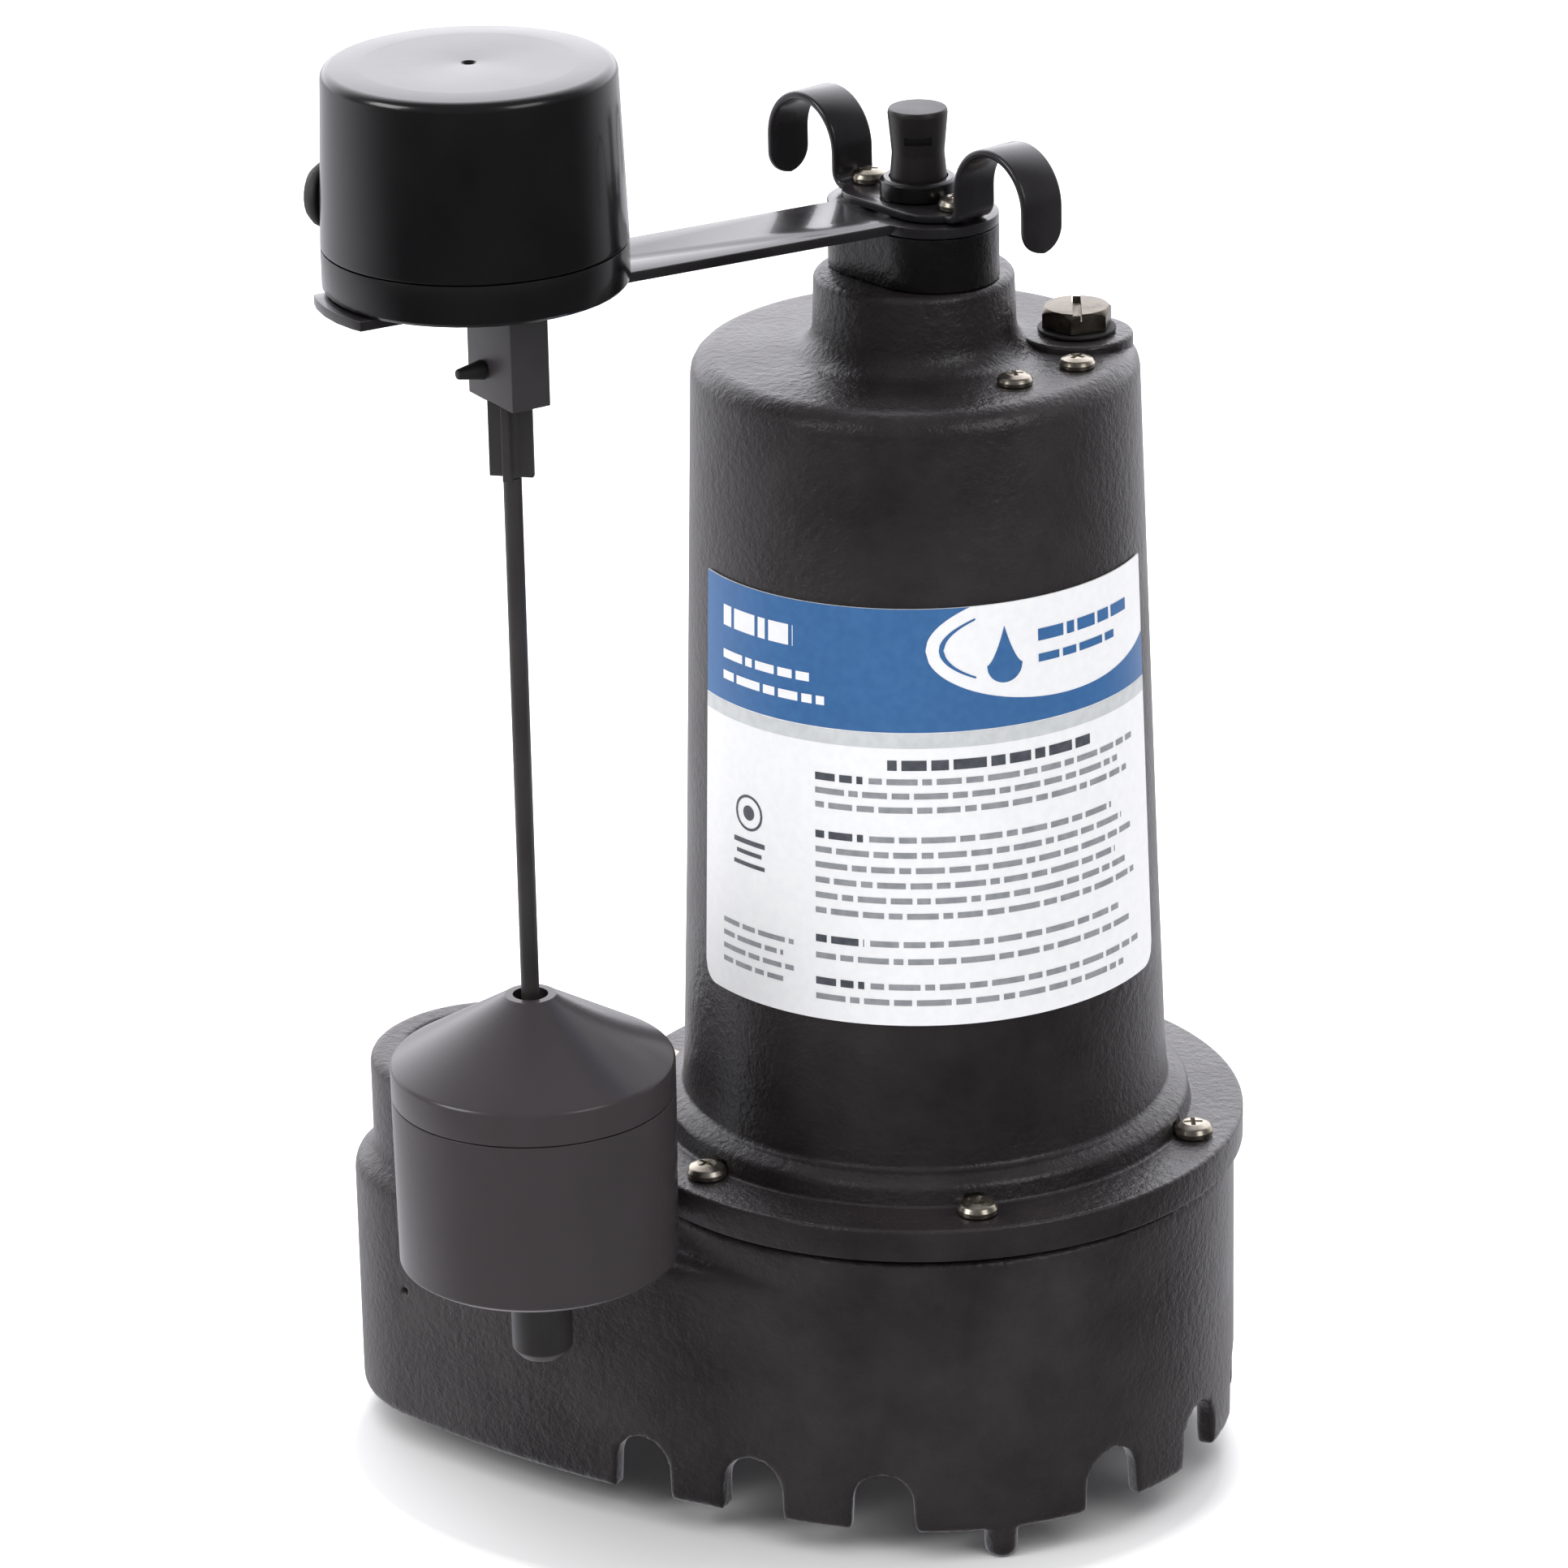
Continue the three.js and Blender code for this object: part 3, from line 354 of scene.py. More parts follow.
def boolean(piece, tools, operation="DIFFERENCE"):
    """The piece cut by, or joined to, other meshes, which are removed."""
    for tool in tools:
        modifier = piece.modifiers.new("cut", "BOOLEAN")
        modifier.operation = operation
        modifier.solver = "EXACT"
        modifier.object = tool
        bake(piece)
        closed = bmesh.new()
        closed.from_mesh(piece.data)
        bmesh.ops.remove_doubles(closed, verts=closed.verts, dist=4e-6)
        bmesh.ops.dissolve_degenerate(closed, edges=closed.edges, dist=4e-6)
        open_edges = [edge for edge in closed.edges if edge.is_boundary]
        if open_edges:
            bmesh.ops.holes_fill(closed, edges=open_edges)
        closed.to_mesh(piece.data)
        closed.free()
        bpy.data.objects.remove(tool)


def bake(piece):
    """Applies the piece's modifiers to its mesh."""
    graph = bpy.context.evaluated_depsgraph_get()
    graph.update()
    made = bpy.data.meshes.new_from_object(piece.evaluated_get(graph))
    piece.modifiers.clear()
    old = piece.data
    piece.data = made
    bpy.data.meshes.remove(old)


def crisp(piece, crease=35):
    """Smooth shading with sharp edges above the crease, in degrees."""
    piece.data.shade_smooth()
    piece.data.set_sharp_from_angle(angle=math.radians(crease))


def softened(node, name, material, width, segments=2):
    """A copy of a CAD node with clean faces and rounded edges, standing for that node."""
    source = NODES[node]
    mesh = source.data.copy()
    mesh.materials.clear()
    clean = bmesh.new()
    clean.from_mesh(mesh)
    bmesh.ops.remove_doubles(clean, verts=clean.verts, dist=1e-6)
    bmesh.ops.dissolve_limit(clean, angle_limit=math.radians(1), verts=clean.verts, edges=clean.edges)
    clean.to_mesh(mesh)
    clean.free()
    mesh.materials.append(material)
    piece = bpy.data.objects.new(name, mesh)
    bpy.context.scene.collection.objects.link(piece)
    bevel = piece.modifiers.new("edges", "BEVEL")
    bevel.width = width * MM
    bevel.segments = segments
    bevel.limit_method = "ANGLE"
    bevel.angle_limit = math.radians(32)
    bevel.use_clamp_overlap = True
    bake(piece)
    crisp(piece, 40)
    stand_for(piece, node)
    return piece


# ------------------------------------------------------------------ camera

PITCH, ROLL, YAW = 0.370157, -0.0214, -0.0195
CAMERA_TURN = math.radians(10)
CAMERA_BACK, CAMERA_UP = 1739.43, 851.73
FOCAL = 173.0

aim = Vector((math.sin(YAW) * math.cos(PITCH), math.cos(YAW) * math.cos(PITCH), -math.sin(PITCH)))
level = Vector((math.cos(YAW), -math.sin(YAW), 0))
upward = level.cross(aim)
side = level * math.cos(ROLL) + upward * math.sin(ROLL)
top = upward * math.cos(ROLL) - level * math.sin(ROLL)
turn = Matrix.Rotation(CAMERA_TURN, 3, "Z")
columns = [turn @ side, turn @ top, turn @ -aim]
pose = Matrix([[c[row] for c in columns] for row in range(3)]).to_4x4()
place = turn @ Vector((0, -CAMERA_BACK, CAMERA_UP)) + Vector((MOTOR[0], MOTOR[1], 0))
camera_data = bpy.data.cameras.new("camera")
camera_data.lens = FOCAL
camera_data.sensor_width = 36
camera_data.clip_end = 50
camera = bpy.data.objects.new("camera", camera_data)
bpy.context.scene.collection.objects.link(camera)
camera.matrix_world = Matrix.Translation(place * MM) @ pose
bpy.context.scene.camera = camera

# ------------------------------------------------------------------ more shapes


def prism(name, outline, low, high, material=None, node=None):
    """An upright solid with the same outline all the way up."""
    sections = [[(x, y, z) for x, y in outline] for z in (low, high)]
    vertices, faces = loft(sections)
    return mesh_object(name, vertices, faces, material, node)


def cylinder(centre, radius, low, high, steps=32):
    """A plain round cutter."""
    return prism("cutter", [polar(radius, 360 * k / steps, centre) for k in range(steps)], low, high)


def transformed(points, degrees=0.0, centre=(0, 0)):
    """Plan points turned about the origin and then moved to a centre."""
    turn_by = math.radians(degrees)
    cos, sin = math.cos(turn_by), math.sin(turn_by)
    return [(centre[0] + x * cos - y * sin, centre[1] + x * sin + y * cos) for x, y in points]


def arc(centre, radius, start, end, steps):
    """Points along a circle between two angles, both included."""
    return [polar(radius, start + (end - start) * k / steps, centre) for k in range(steps + 1)]


def stadium(half_length, half_width, steps=24):
    """Outline with straight sides and round ends."""
    straight = half_length - half_width
    return arc((straight, 0), half_width, -90, 90, steps) + arc((-straight, 0), half_width, 90, 270, steps)


def bevelled(piece, width):
    """Every sharp edge rounded to the width."""
    clean = bmesh.new()
    clean.from_mesh(piece.data)
    bmesh.ops.dissolve_limit(clean, angle_limit=math.radians(0.5), verts=clean.verts, edges=clean.edges)
    clean.to_mesh(piece.data)
    clean.free()
    modifier = piece.modifiers.new("edges", "BEVEL")
    modifier.width = width * MM
    modifier.segments = 3
    modifier.limit_method = "ANGLE"
    modifier.angle_limit = math.radians(30)
    bake(piece)
    crisp(piece, 40)


def cast_skin(piece, voxel, smoothing, keep):
    """The piece as one continuous casting, with soft edges and corners and part of its faces kept."""
    remesh = piece.modifiers.new("skin", "REMESH")
    remesh.mode = "VOXEL"
    remesh.voxel_size = voxel * MM
    smooth = piece.modifiers.new("soften", "SMOOTH")
    smooth.factor = 0.5
    smooth.iterations = smoothing
    thin = piece.modifiers.new("thin", "DECIMATE")
    thin.ratio = keep
    bake(piece)
    piece.data.shade_smooth()


# ------------------------------------------------------------------ motor housing

BODY_MID_R, BODY_MID_Z, TAPER = 58.5, 156.6, 0.0306
FLANGE_R = 79.8
FLANGE_LOW = housing_low.z
FLANGE_TOP = FLANGE_LOW + 8.4
CROWN = 290
NECK_R = 24.3
NECK_TOP = housing_high.z
PAD_R, PAD_TOP = 13.7, 292
FLANGE_SCREWS = [node_axis(f"flange_screw_{i}") for i in range(1, 7)]
CROWN_SCREWS = [node_axis(f"crown_screw_{i}") for i in (1, 2)]


def wall_r(z):
    """Radius of the tapered housing wall at a height."""
    return BODY_MID_R + (BODY_MID_Z - z) * TAPER


housing_profile = [
    (55.3, FLANGE_LOW),
    (FLANGE_R, FLANGE_LOW, 0.6),
    (FLANGE_R, FLANGE_TOP, 1.0),
    (66.7, FLANGE_TOP + 0.2, 1.0),
    (65.9, FLANGE_TOP + 5.2, 2.8),
    (63.0, FLANGE_TOP + 7.3, 1.8),
    (60.9, FLANGE_TOP + 7.9, 1.6),
    (60.3, FLANGE_TOP + 16, 3.0),
    (BODY_MID_R, BODY_MID_Z),
    (wall_r(CROWN), CROWN, 5.8),
    (NECK_R + 0.6, CROWN + 0.1, 6.5),
    (NECK_R, NECK_TOP, 1.9),
    (11.5, NECK_TOP),
    (11.5, 284),
    (12.5, 284),
    (12.5, 270.3),
    (16.3, 270.3),
    (16.3, 258),
    (20, 258),
    (20, 284),
    (49.3, 284),
    (49.3, 220),
    (51.8, 214),
    (51.8, 99),
    (55.3, 94),
]
housing = turned("housing_shell", housing_profile, MOTOR, HOUSING_PAINT, "motor_housing", 180, 30)
pad_profile = [(0, CROWN - 4), (PAD_R, CROWN - 4), (PAD_R, PAD_TOP, 0.9), (0, PAD_TOP)]
boolean(housing, [turned("pad", pad_profile, PLUG, steps=64)], "UNION")
housing_cutters = [cylinder(PLUG, 6.4, 280, PAD_TOP + 1)]
housing_cutters += [cylinder(p, 5.15, FLANGE_TOP + 0.2, FLANGE_TOP + 3.6, 48) for p in FLANGE_SCREWS]
housing_cutters += [cylinder(p, 3.3, FLANGE_LOW - 1, FLANGE_TOP + 1) for p in FLANGE_SCREWS]
housing_cutters += [cylinder(p, 2.4, 280, 295) for p in CROWN_SCREWS]
housing_cutters += [cylinder(p, 2.4, 298, NECK_TOP + 1) for p in STRAP_SCREWS]
boolean(housing, housing_cutters)
crisp(housing, 30)

# ------------------------------------------------------------------ base casting

BASE_R, BASE_BOTTOM, BASE_TOP, BASE_WALL = 77.5, 8, base_low.z + 81, 5
LOBE_X, LOBE_R, LOBE_TOP = -111, 36.5, 72
PORT_BOSS_R, PORT_TOP, PORT_BORE_R = 31.5, base_high.z, 21.5
CHAMBER_TOP, FLOOR_TOP, VOLUTE_R = 36, 41, 58
PLATE_SEAT, PLATE_R, EYE_R = 70, 62.3, 20
ARCH_W, ARCH_TOP = 15, 23.5
ARCH_ANGLES = [-114, -88.9, -44.1, -19, 6.1, 31.1, 75.9, 101]
BELLY_R, BELLY_ARCH_ANGLE = 280, 10.8
FOOT_R, FOOT_ANGLES, LOBE_FOOT_ANGLE = 4.2, (-66.5, 53.5), 173.5
SHOULDER = 4

to_skirt, to_lobe = BELLY_R - BASE_R, BELLY_R - LOBE_R
belly_x = (LOBE_X**2 + to_skirt**2 - to_lobe**2) / (2 * LOBE_X)
belly_y = math.sqrt(to_skirt**2 - belly_x**2)
skirt_turn = math.degrees(math.atan2(belly_y, -belly_x))
lobe_turn = math.degrees(math.atan2(belly_y, LOBE_X - belly_x))


def base_outline(inset):
    """Skirt and lobe circles joined by slightly bowed walls."""
    points = arc((0, 0), BASE_R - inset, -skirt_turn, skirt_turn, 110)[:-1]
    points += arc((belly_x, -belly_y), BELLY_R - inset, skirt_turn, lobe_turn, 30)[:-1]
    points += arc((LOBE_X, 0), LOBE_R - inset, lobe_turn, 360 - lobe_turn, 56)[:-1]
    points += arc((belly_x, belly_y), BELLY_R - inset, -lobe_turn, -skirt_turn, 30)[:-1]
    return transformed(points, 0, MOTOR)


def arch_cutter(degrees, push=0.0, centre=(0, 0)):
    """A bell-shaped opening that runs outwards through the wall."""
    half = ARCH_W / 2
    outline = [(-half - 1.2, -1), (half + 1.2, -1), (half + 0.9, 2), (half, ARCH_TOP - half)]
    outline += arc((0, ARCH_TOP - half), half, 0, 180, 16)[1:]
    outline += [(-half - 0.9, 2)]
    sections = []
    for reach in (BASE_R - 15 + push, BASE_R + 15 + push):
        placed = [(*transformed([(reach, across)], degrees, centre)[0], z) for across, z in outline]
        sections.append([(x + MOTOR[0], y + MOTOR[1], z) for x, y, z in placed])
    vertices, faces = loft(sections)
    return mesh_object("cutter", vertices, faces)


def from_motor(x, y=0.0):
    """Plan point measured from the motor's axis."""
    return MOTOR[0] + x, MOTOR[1] + y


def box_cutter(x0, x1, y0, y1, low, high):
    """A box measured from the motor's axis, to cut away or to join."""
    corners = [from_motor(x, y) for x, y in ((x0, y0), (x1, y0), (x1, y1), (x0, y1))]
    return prism("cutter", corners, low, high)


shell_sections = [(0.9, BASE_BOTTOM), (0.2, BASE_BOTTOM + 0.6), (0, BASE_BOTTOM + 1.4)]
shell_sections.append((0, LOBE_TOP - SHOULDER))
for step in range(1, 7):
    lean = math.radians(15 * step)
    inset = SHOULDER * (1 - math.cos(lean))
    shell_sections.append((inset, LOBE_TOP - SHOULDER + SHOULDER * math.sin(lean)))
vertices, faces = loft([[(x, y, z) for x, y in base_outline(inset)] for inset, z in shell_sections])
base = mesh_object("base_casting", vertices, faces, BASE_PAINT, "volute_base")
skirt_profile = [(0, 30), (BASE_R, 30), (BASE_R, BASE_TOP, 1.0), (0, BASE_TOP)]
boss_profile = [(0, 50), (PORT_BOSS_R + 4, 50), (PORT_BOSS_R + 4, LOBE_TOP - 1)]
boss_profile += [(PORT_BOSS_R + 2.6, LOBE_TOP)]
boss_profile += [(PORT_BOSS_R, LOBE_TOP + 2.6, 2), (PORT_BOSS_R, PORT_TOP, 2.2), (0, PORT_TOP)]
base_joins = [
    turned("skirt", skirt_profile, MOTOR, steps=180),
    turned("boss", boss_profile, from_motor(LOBE_X), steps=120),
]
boolean(base, base_joins, "UNION")
gap_in, gap_out, gap_top = VOLUTE_R + BASE_WALL, BASE_R - BASE_WALL, 62
gap_profile = [(gap_in, 7), (gap_out, 7), (gap_out, gap_top), (gap_in, gap_top)]
chamber = prism("cutter", base_outline(BASE_WALL), 7, CHAMBER_TOP)
boolean(base, [chamber, turned("cutter", gap_profile, MOTOR)])
boolean(base, [box_cutter(-90, -57, -24, 24, CHAMBER_TOP - 0.5, LOBE_TOP - 1)], "UNION")
lobe = from_motor(LOBE_X)
port_profile = [(0, LOBE_TOP - 10), (PORT_BORE_R, LOBE_TOP - 10)]
for turn_index in range(15):
    z = LOBE_TOP - 6 + 2.1 * turn_index
    port_profile += [(PORT_BORE_R, z), (PORT_BORE_R + 1.1, z + 1.05)]
port_profile += [(PORT_BORE_R + 1.6, PORT_TOP - 1.2), (PORT_BORE_R + 2.4, PORT_TOP + 1), (0, PORT_TOP + 1)]
volute_profile = [
    (0, CHAMBER_TOP - 2),
    (EYE_R, CHAMBER_TOP - 2),
    (EYE_R, FLOOR_TOP),
    (VOLUTE_R, FLOOR_TOP),
    (VOLUTE_R, PLATE_SEAT),
    (PLATE_R, PLATE_SEAT),
    (PLATE_R, BASE_TOP + 1),
    (0, BASE_TOP + 1),
]
boolean(
    base,
    [
        turned("cutter", volute_profile, MOTOR, steps=120),
        box_cutter(LOBE_X + 3, -52, -17, 17, FLOOR_TOP + 4, 65.6),
        cylinder(lobe, LOBE_R - BASE_WALL - 1, FLOOR_TOP, LOBE_TOP - BASE_WALL, 64),
        turned("cutter", port_profile, lobe, steps=72),
        cylinder(MOTOR, FLANGE_R + 0.8, BASE_TOP + 0.02, PORT_TOP + 1, 113),
        *[cylinder(p, 3.1, BASE_TOP - 14, BASE_TOP + 1) for p in FLANGE_SCREWS],
        *[arch_cutter(angle) for angle in ARCH_ANGLES],
        *[
            arch_cutter(sign * (skirt_turn + BELLY_ARCH_ANGLE), to_skirt, (belly_x, -sign * belly_y))
            for sign in (-1, 1)
        ],
    ],
)
foot_places = [polar(BASE_R - FOOT_R, angle, MOTOR) for angle in FOOT_ANGLES]
foot_places.append(polar(LOBE_R - FOOT_R, LOBE_FOOT_ANGLE, lobe))
foot_profile = [(0, 0), (FOOT_R - 0.6, 0, 0.8), (FOOT_R, 2), (FOOT_R, 20), (0, 20)]
boolean(base, [turned("foot", foot_profile, place, steps=32) for place in foot_places], "UNION")
cast_skin(base, 0.9, 5, 0.5)

# A small casting mark low on the lobe: a shallow tapered pit.
mark_angle, mark_z = 241, 44
mark_sections = []
for reach, radius in ((LOBE_R - 2.2, 0.7), (LOBE_R + 2, 1.5)):
    centre = polar(reach, mark_angle, lobe)
    across = polar(1, mark_angle + 90)
    loop = []
    for k in range(16):
        sideways, upwards = polar(radius, 360 * k / 16)
        loop.append((centre[0] + sideways * across[0], centre[1] + sideways * across[1], mark_z + upwards))
    mark_sections.append(loop)
boolean(base, [mesh_object("cutter", *loft(mark_sections))])
base.data.shade_smooth()

gasket_profile = [(63.5, BASE_TOP + 0.3), (76.4, BASE_TOP + 0.3), (76.7, 82), (76.4, 82.3), (63.5, 82.3)]
gasket = turned("base_gasket", gasket_profile, MOTOR, RUBBER, "volute_gasket", 120)
boolean(gasket, [cylinder(p, 3.4, BASE_TOP, 83) for p in FLANGE_SCREWS])

# ------------------------------------------------------------------ screws and filler plug


def pan_screw(name, node, head_r, head_h, shank_r, degrees):
    """A pan-head screw with a tapered cross recess."""
    low, high = node_box(node)
    centre = node_axis(node)
    seat = high.z - head_h
    profile = [
        (0, low.z),
        (shank_r, low.z, 0.4),
        (shank_r, seat),
        (head_r * 0.97, seat),
        (head_r, seat + 0.35 * head_h, 0.3),
        (head_r * 0.86, seat + 0.72 * head_h, 1.0),
        (head_r * 0.5, high.z - 0.12, 1.0),
        (0, high.z),
    ]
    screw = turned(name, profile, centre, ZINC, node, 40)
    cutters = []
    for spin in (0, 90):
        sections = []
        for shrink, z in ((0.35, high.z - 1.5), (1, high.z + 0.1), (1, high.z + 1)):
            long, wide = head_r * 0.52 * shrink, 0.2 + 0.38 * shrink
            corners = [(-long, -wide), (long, -wide), (long, wide), (-long, wide)]
            sections.append([(x, y, z) for x, y in transformed(corners, degrees + spin, centre)])
        cutters.append(mesh_object("cutter", *loft(sections)))
    boolean(screw, cutters)
    crisp(screw, 40)


for index, degrees in enumerate((12, 40, 71, 25, 55, 83), 1):
    pan_screw(f"flange_screw_head_{index}", f"flange_screw_{index}", 5, 3.2, 2.8, degrees)
for index, degrees in enumerate((20, 64), 1):
    pan_screw(f"crown_screw_head_{index}", f"crown_screw_{index}", 4.4, 2.6, 2, degrees)
for index, degrees in enumerate((8, 52), 1):
    pan_screw(f"strap_screw_head_{index}", f"strap_screw_{index}", 4.4, 3, 2, degrees)

softened("oil_plug", "filler_plug", PLUG_METAL, 0.45, 3)
washer_low, washer_high = node_box("oil_plug_washer")
washer_profile = [
    (6.5, washer_low.z),
    (9.6, washer_low.z, 0.4),
    (9.6, washer_high.z, 0.4),
    (6.5, washer_high.z),
]
turned("filler_seal", washer_profile, PLUG, RUBBER, "oil_plug_washer", 64)

# ------------------------------------------------------------------ neck: oval cap, strap, horns, gland

softened("cord_cap", "neck_cap", NECK_PAINT_SHADE_DARKENED, 1.6, 5)
softened("switch_bracket", "switch_strap", STRAP_PAINT, 0.6, 3)

HORN_W, HORN_T, HORN_ROOT, HORN_ARC = 12, 2, 22.4, 12.1
HORN_TOP, HORN_TIP = handle_high.z, handle_low.z
PLATE_LOW = 326.1
PLATE_HIGH = PLATE_LOW + HORN_T


def horn_path():
    """Centre line of a horn, plate to tip: (distance out, height, half width, half thickness)."""
    half = HORN_T / 2
    z_mid = PLATE_LOW + half
    arc_z = HORN_TOP - half - HORN_ARC
    arc_s = HORN_ROOT + HORN_ARC
    bend = 3.2
    points = [(13, z_mid), (16, z_mid), (HORN_ROOT - bend, z_mid)]
    points += arc((HORN_ROOT - bend, z_mid + bend), bend, -90, 0, 6)[1:]
    points += arc((arc_s, arc_z), HORN_ARC, 180, 0, 32)
    down = HORN_ROOT + 2 * HORN_ARC
    tip_mid = HORN_TIP + HORN_W / 2
    points.append((down, (arc_z + tip_mid) / 2))
    path = [(s, z, HORN_W / 2, half) for s, z in points]
    path[0] = (*path[0][:3], half * 0.96)
    path[1] = (*path[1][:3], half * 0.97)
    for k in range(13):
        lean = math.radians(90 * k / 12.4)
        path.append((down, tip_mid - HORN_W / 2 * math.sin(lean), HORN_W / 2 * math.cos(lean), half))
    return path


def strap_section(half_width, half_thickness):
    """Cross-section of a flat strap with rounded edges."""
    edge = min(0.8, half_thickness * 0.8, half_width * 0.8)
    corners = [(half_width, half_thickness), (-half_width, half_thickness)]
    corners += [(-half_width, -half_thickness), (half_width, -half_thickness)]
    return rounded([(x, y, edge) for x, y in corners], 4)


def horn(side_turn):
    """Vertices and faces of one curled horn, turned about the motor's axis."""
    path = horn_path()
    sections = []
    for k, (s, z, half_width, half_thickness) in enumerate(path):
        before, after = path[max(k - 1, 0)], path[min(k + 1, len(path) - 1)]
        along = Vector((after[0] - before[0], after[1] - before[1])).normalized()
        loop = []
        for across, out in strap_section(half_width, half_thickness):
            flat = transformed([(s - along.y * out, across)], HORN_ANGLE + side_turn, MOTOR)[0]
            loop.append((*flat, z + along.x * out))
        sections.append(loop)
    return loft(sections)


plate = prism(
    "handle",
    transformed(stadium(HORN_ROOT - 2.2, 11.5), HORN_ANGLE, MOTOR),
    PLATE_LOW,
    PLATE_HIGH,
    STRAP_PAINT,
    "carry_handle",
)
boolean(plate, [cylinder(GLAND, 7.4, 320, 335, 48), *[cylinder(p, 2.4, 320, 335) for p in STRAP_SCREWS]])
bevelled(plate, 0.5)
horns = [mesh_object("horn", *horn(side_turn)) for side_turn in (0, 180)]
joined_mesh = bmesh.new()
joined_mesh.from_mesh(plate.data)
for part in horns:
    joined_mesh.from_mesh(part.data)
joined_mesh.to_mesh(plate.data)
joined_mesh.free()
for part in horns:
    bpy.data.objects.remove(part)
crisp(plate, 40)

gland_low, gland_high = node_box("cord_gland")
GLAND_R, GLAND_TOP = 6.9, gland_high.z
gland_profile = [
    (0, gland_low.z),
    (GLAND_R, gland_low.z),
    (GLAND_R, GLAND_TOP - 17),
    (GLAND_R - 0.55, GLAND_TOP - 11, 6),
    (GLAND_R + 0.35, GLAND_TOP - 1.2, 1),
    (GLAND_R + 0.1, GLAND_TOP, 0.5),
    (0, GLAND_TOP),
]
gland = turned("cord_gland_post", gland_profile, GLAND, GLAND_RUBBER, "cord_gland", 64)
slot_outline = transformed([(-3.3, -9), (3.3, -9), (3.3, -5.0), (-3.3, -5.0)], 10, GLAND)
boolean(gland, [prism("cutter", slot_outline, GLAND_TOP - 8, GLAND_TOP - 6)])
crisp(gland)
nut_low, nut_high = node_box("gland_nut")
nut_profile = [
    (7.2, nut_low.z),
    (9.4, nut_low.z, 0.4),
    (9.3, nut_high.z - 0.6, 0.5),
    (8.4, nut_high.z, 0.4),
    (7.2, nut_high.z),
]
turned("gland_collar", nut_profile, GLAND, GLOSS_BLACK, "gland_nut", 64)

# ------------------------------------------------------------------ float switch

SWITCH_R, SWITCH_TOP_R = 36.1, 34.5
SWITCH_TOP = cap_high.z
SEAM = cap_low.z
cap_profile = [
    (SWITCH_R - 2.2, SEAM),
    (SWITCH_R, SEAM, 0.4),
    (SWITCH_R - 0.06, SEAM + 1.6),
    (SWITCH_TOP_R, SWITCH_TOP - 0.25, 2.3),
    (SWITCH_TOP_R - 9, SWITCH_TOP, 3),
    (1.9, SWITCH_TOP, 0.3),
    (1.1, SWITCH_TOP - 0.9, 0.3),
    (0, SWITCH_TOP - 0.95),
    (0, SWITCH_TOP - 2.2),
    (SWITCH_TOP_R - 3.6, SWITCH_TOP - 2.2, 2),
    (SWITCH_TOP_R - 2.3, SWITCH_TOP - 6),
]
cap = turned("switch_cover", cap_profile, SWITCH, GLOSS_BLACK, "switch_cap", 160, 40)
grommet_low, grommet_high = node_box("switch_cord_grommet")
grommet_centre = (grommet_low + grommet_high) / 2
out = Vector((grommet_centre.x - SWITCH[0], grommet_centre.y - SWITCH[1])).normalized()
hole_sections = []
for reach in (28, 44):
    loop = []
    for k in range(32):
        across, z = polar(6, 360 * k / 32)
        x = SWITCH[0] + out.x * reach - out.y * across
        y = SWITCH[1] + out.y * reach + out.x * across
        loop.append((x, y, grommet_centre.z + z))
    hole_sections.append(loop)
boolean(cap, [mesh_object("cutter", *loft(hole_sections))])
crisp(cap, 40)
softened("switch_base", "switch_floor", GLOSS_BLACK, 0.3, 2)
softened("switch_cord_grommet", "switch_grommet", RUBBER, 0.7, 3)
softened("guide_stem", "stem_block", STEM_GREY, 0.5, 3)
softened("guide_stem_pin", "stem_pin", RUBBER, 0.3, 2)
softened("rod_coupler", "coupler_fins", ROD_BLACK, 0.3, 2)
for index in (1, 2):
    softened(f"switch_mount_screw_{index}", f"mount_screw_head_{index}", ZINC, 0.25, 2)

rod_low, rod_high = node_box("float_rod")
rod_profile = [(0, rod_low.z), (2.2, rod_low.z, 0.3), (2.2, rod_high.z, 0.3), (0, rod_high.z)]
turned("rod", rod_profile, ROD, ROD_BLACK, "float_rod", 32)
stop_low, stop_high = node_box("rod_end_stop")
stop_profile = [
    (0, stop_low.z),
    (5.4, stop_low.z, 1),
    (7.4, stop_low.z + 2.4, 1.2),
    (7.6, stop_high.z, 0.8),
    (2.6, stop_high.z),
    (2.6, stop_low.z + 3.1),
    (0, stop_low.z + 3.1),
]
turned("rod_stop", stop_profile, ROD, ROD_BLACK, "rod_end_stop", 64)

FLOAT_R, FLOAT_BOTTOM_R, FLOAT_BORE = 34.5, 34, 4.3
lower_low, lower_high = node_box("float_lower_shell")
upper_low, upper_high = node_box("float_upper_shell")
FLOAT_BOTTOM, FLOAT_SEAM, FLOAT_TOP = lower_low.z, lower_high.z, upper_high.z
FLOAT_SHOULDER = 133.5
float_lower_profile = [
    (FLOAT_BORE, FLOAT_BOTTOM),
    (FLOAT_BOTTOM_R - 3.2, FLOAT_BOTTOM, 0.3),
    (FLOAT_BOTTOM_R - 2.8, FLOAT_BOTTOM + 0.4),
    (FLOAT_BOTTOM_R - 1.6, FLOAT_BOTTOM + 0.4),
    (FLOAT_BOTTOM_R, FLOAT_BOTTOM + 1.6, 0.9),
    (FLOAT_R, FLOAT_SEAM - 0.5),
    (FLOAT_R - 0.15, FLOAT_SEAM, 0.1),
    (FLOAT_R - 2, FLOAT_SEAM),
    (FLOAT_BOTTOM_R - 2, FLOAT_BOTTOM + 2.5),
    (FLOAT_BORE + 1.8, FLOAT_BOTTOM + 2.5),
    (FLOAT_BORE + 1.8, FLOAT_SEAM),
    (FLOAT_BORE, FLOAT_SEAM),
]
turned("float_body", float_lower_profile, ROD, FLOAT_GREY, "float_lower_shell", 160)
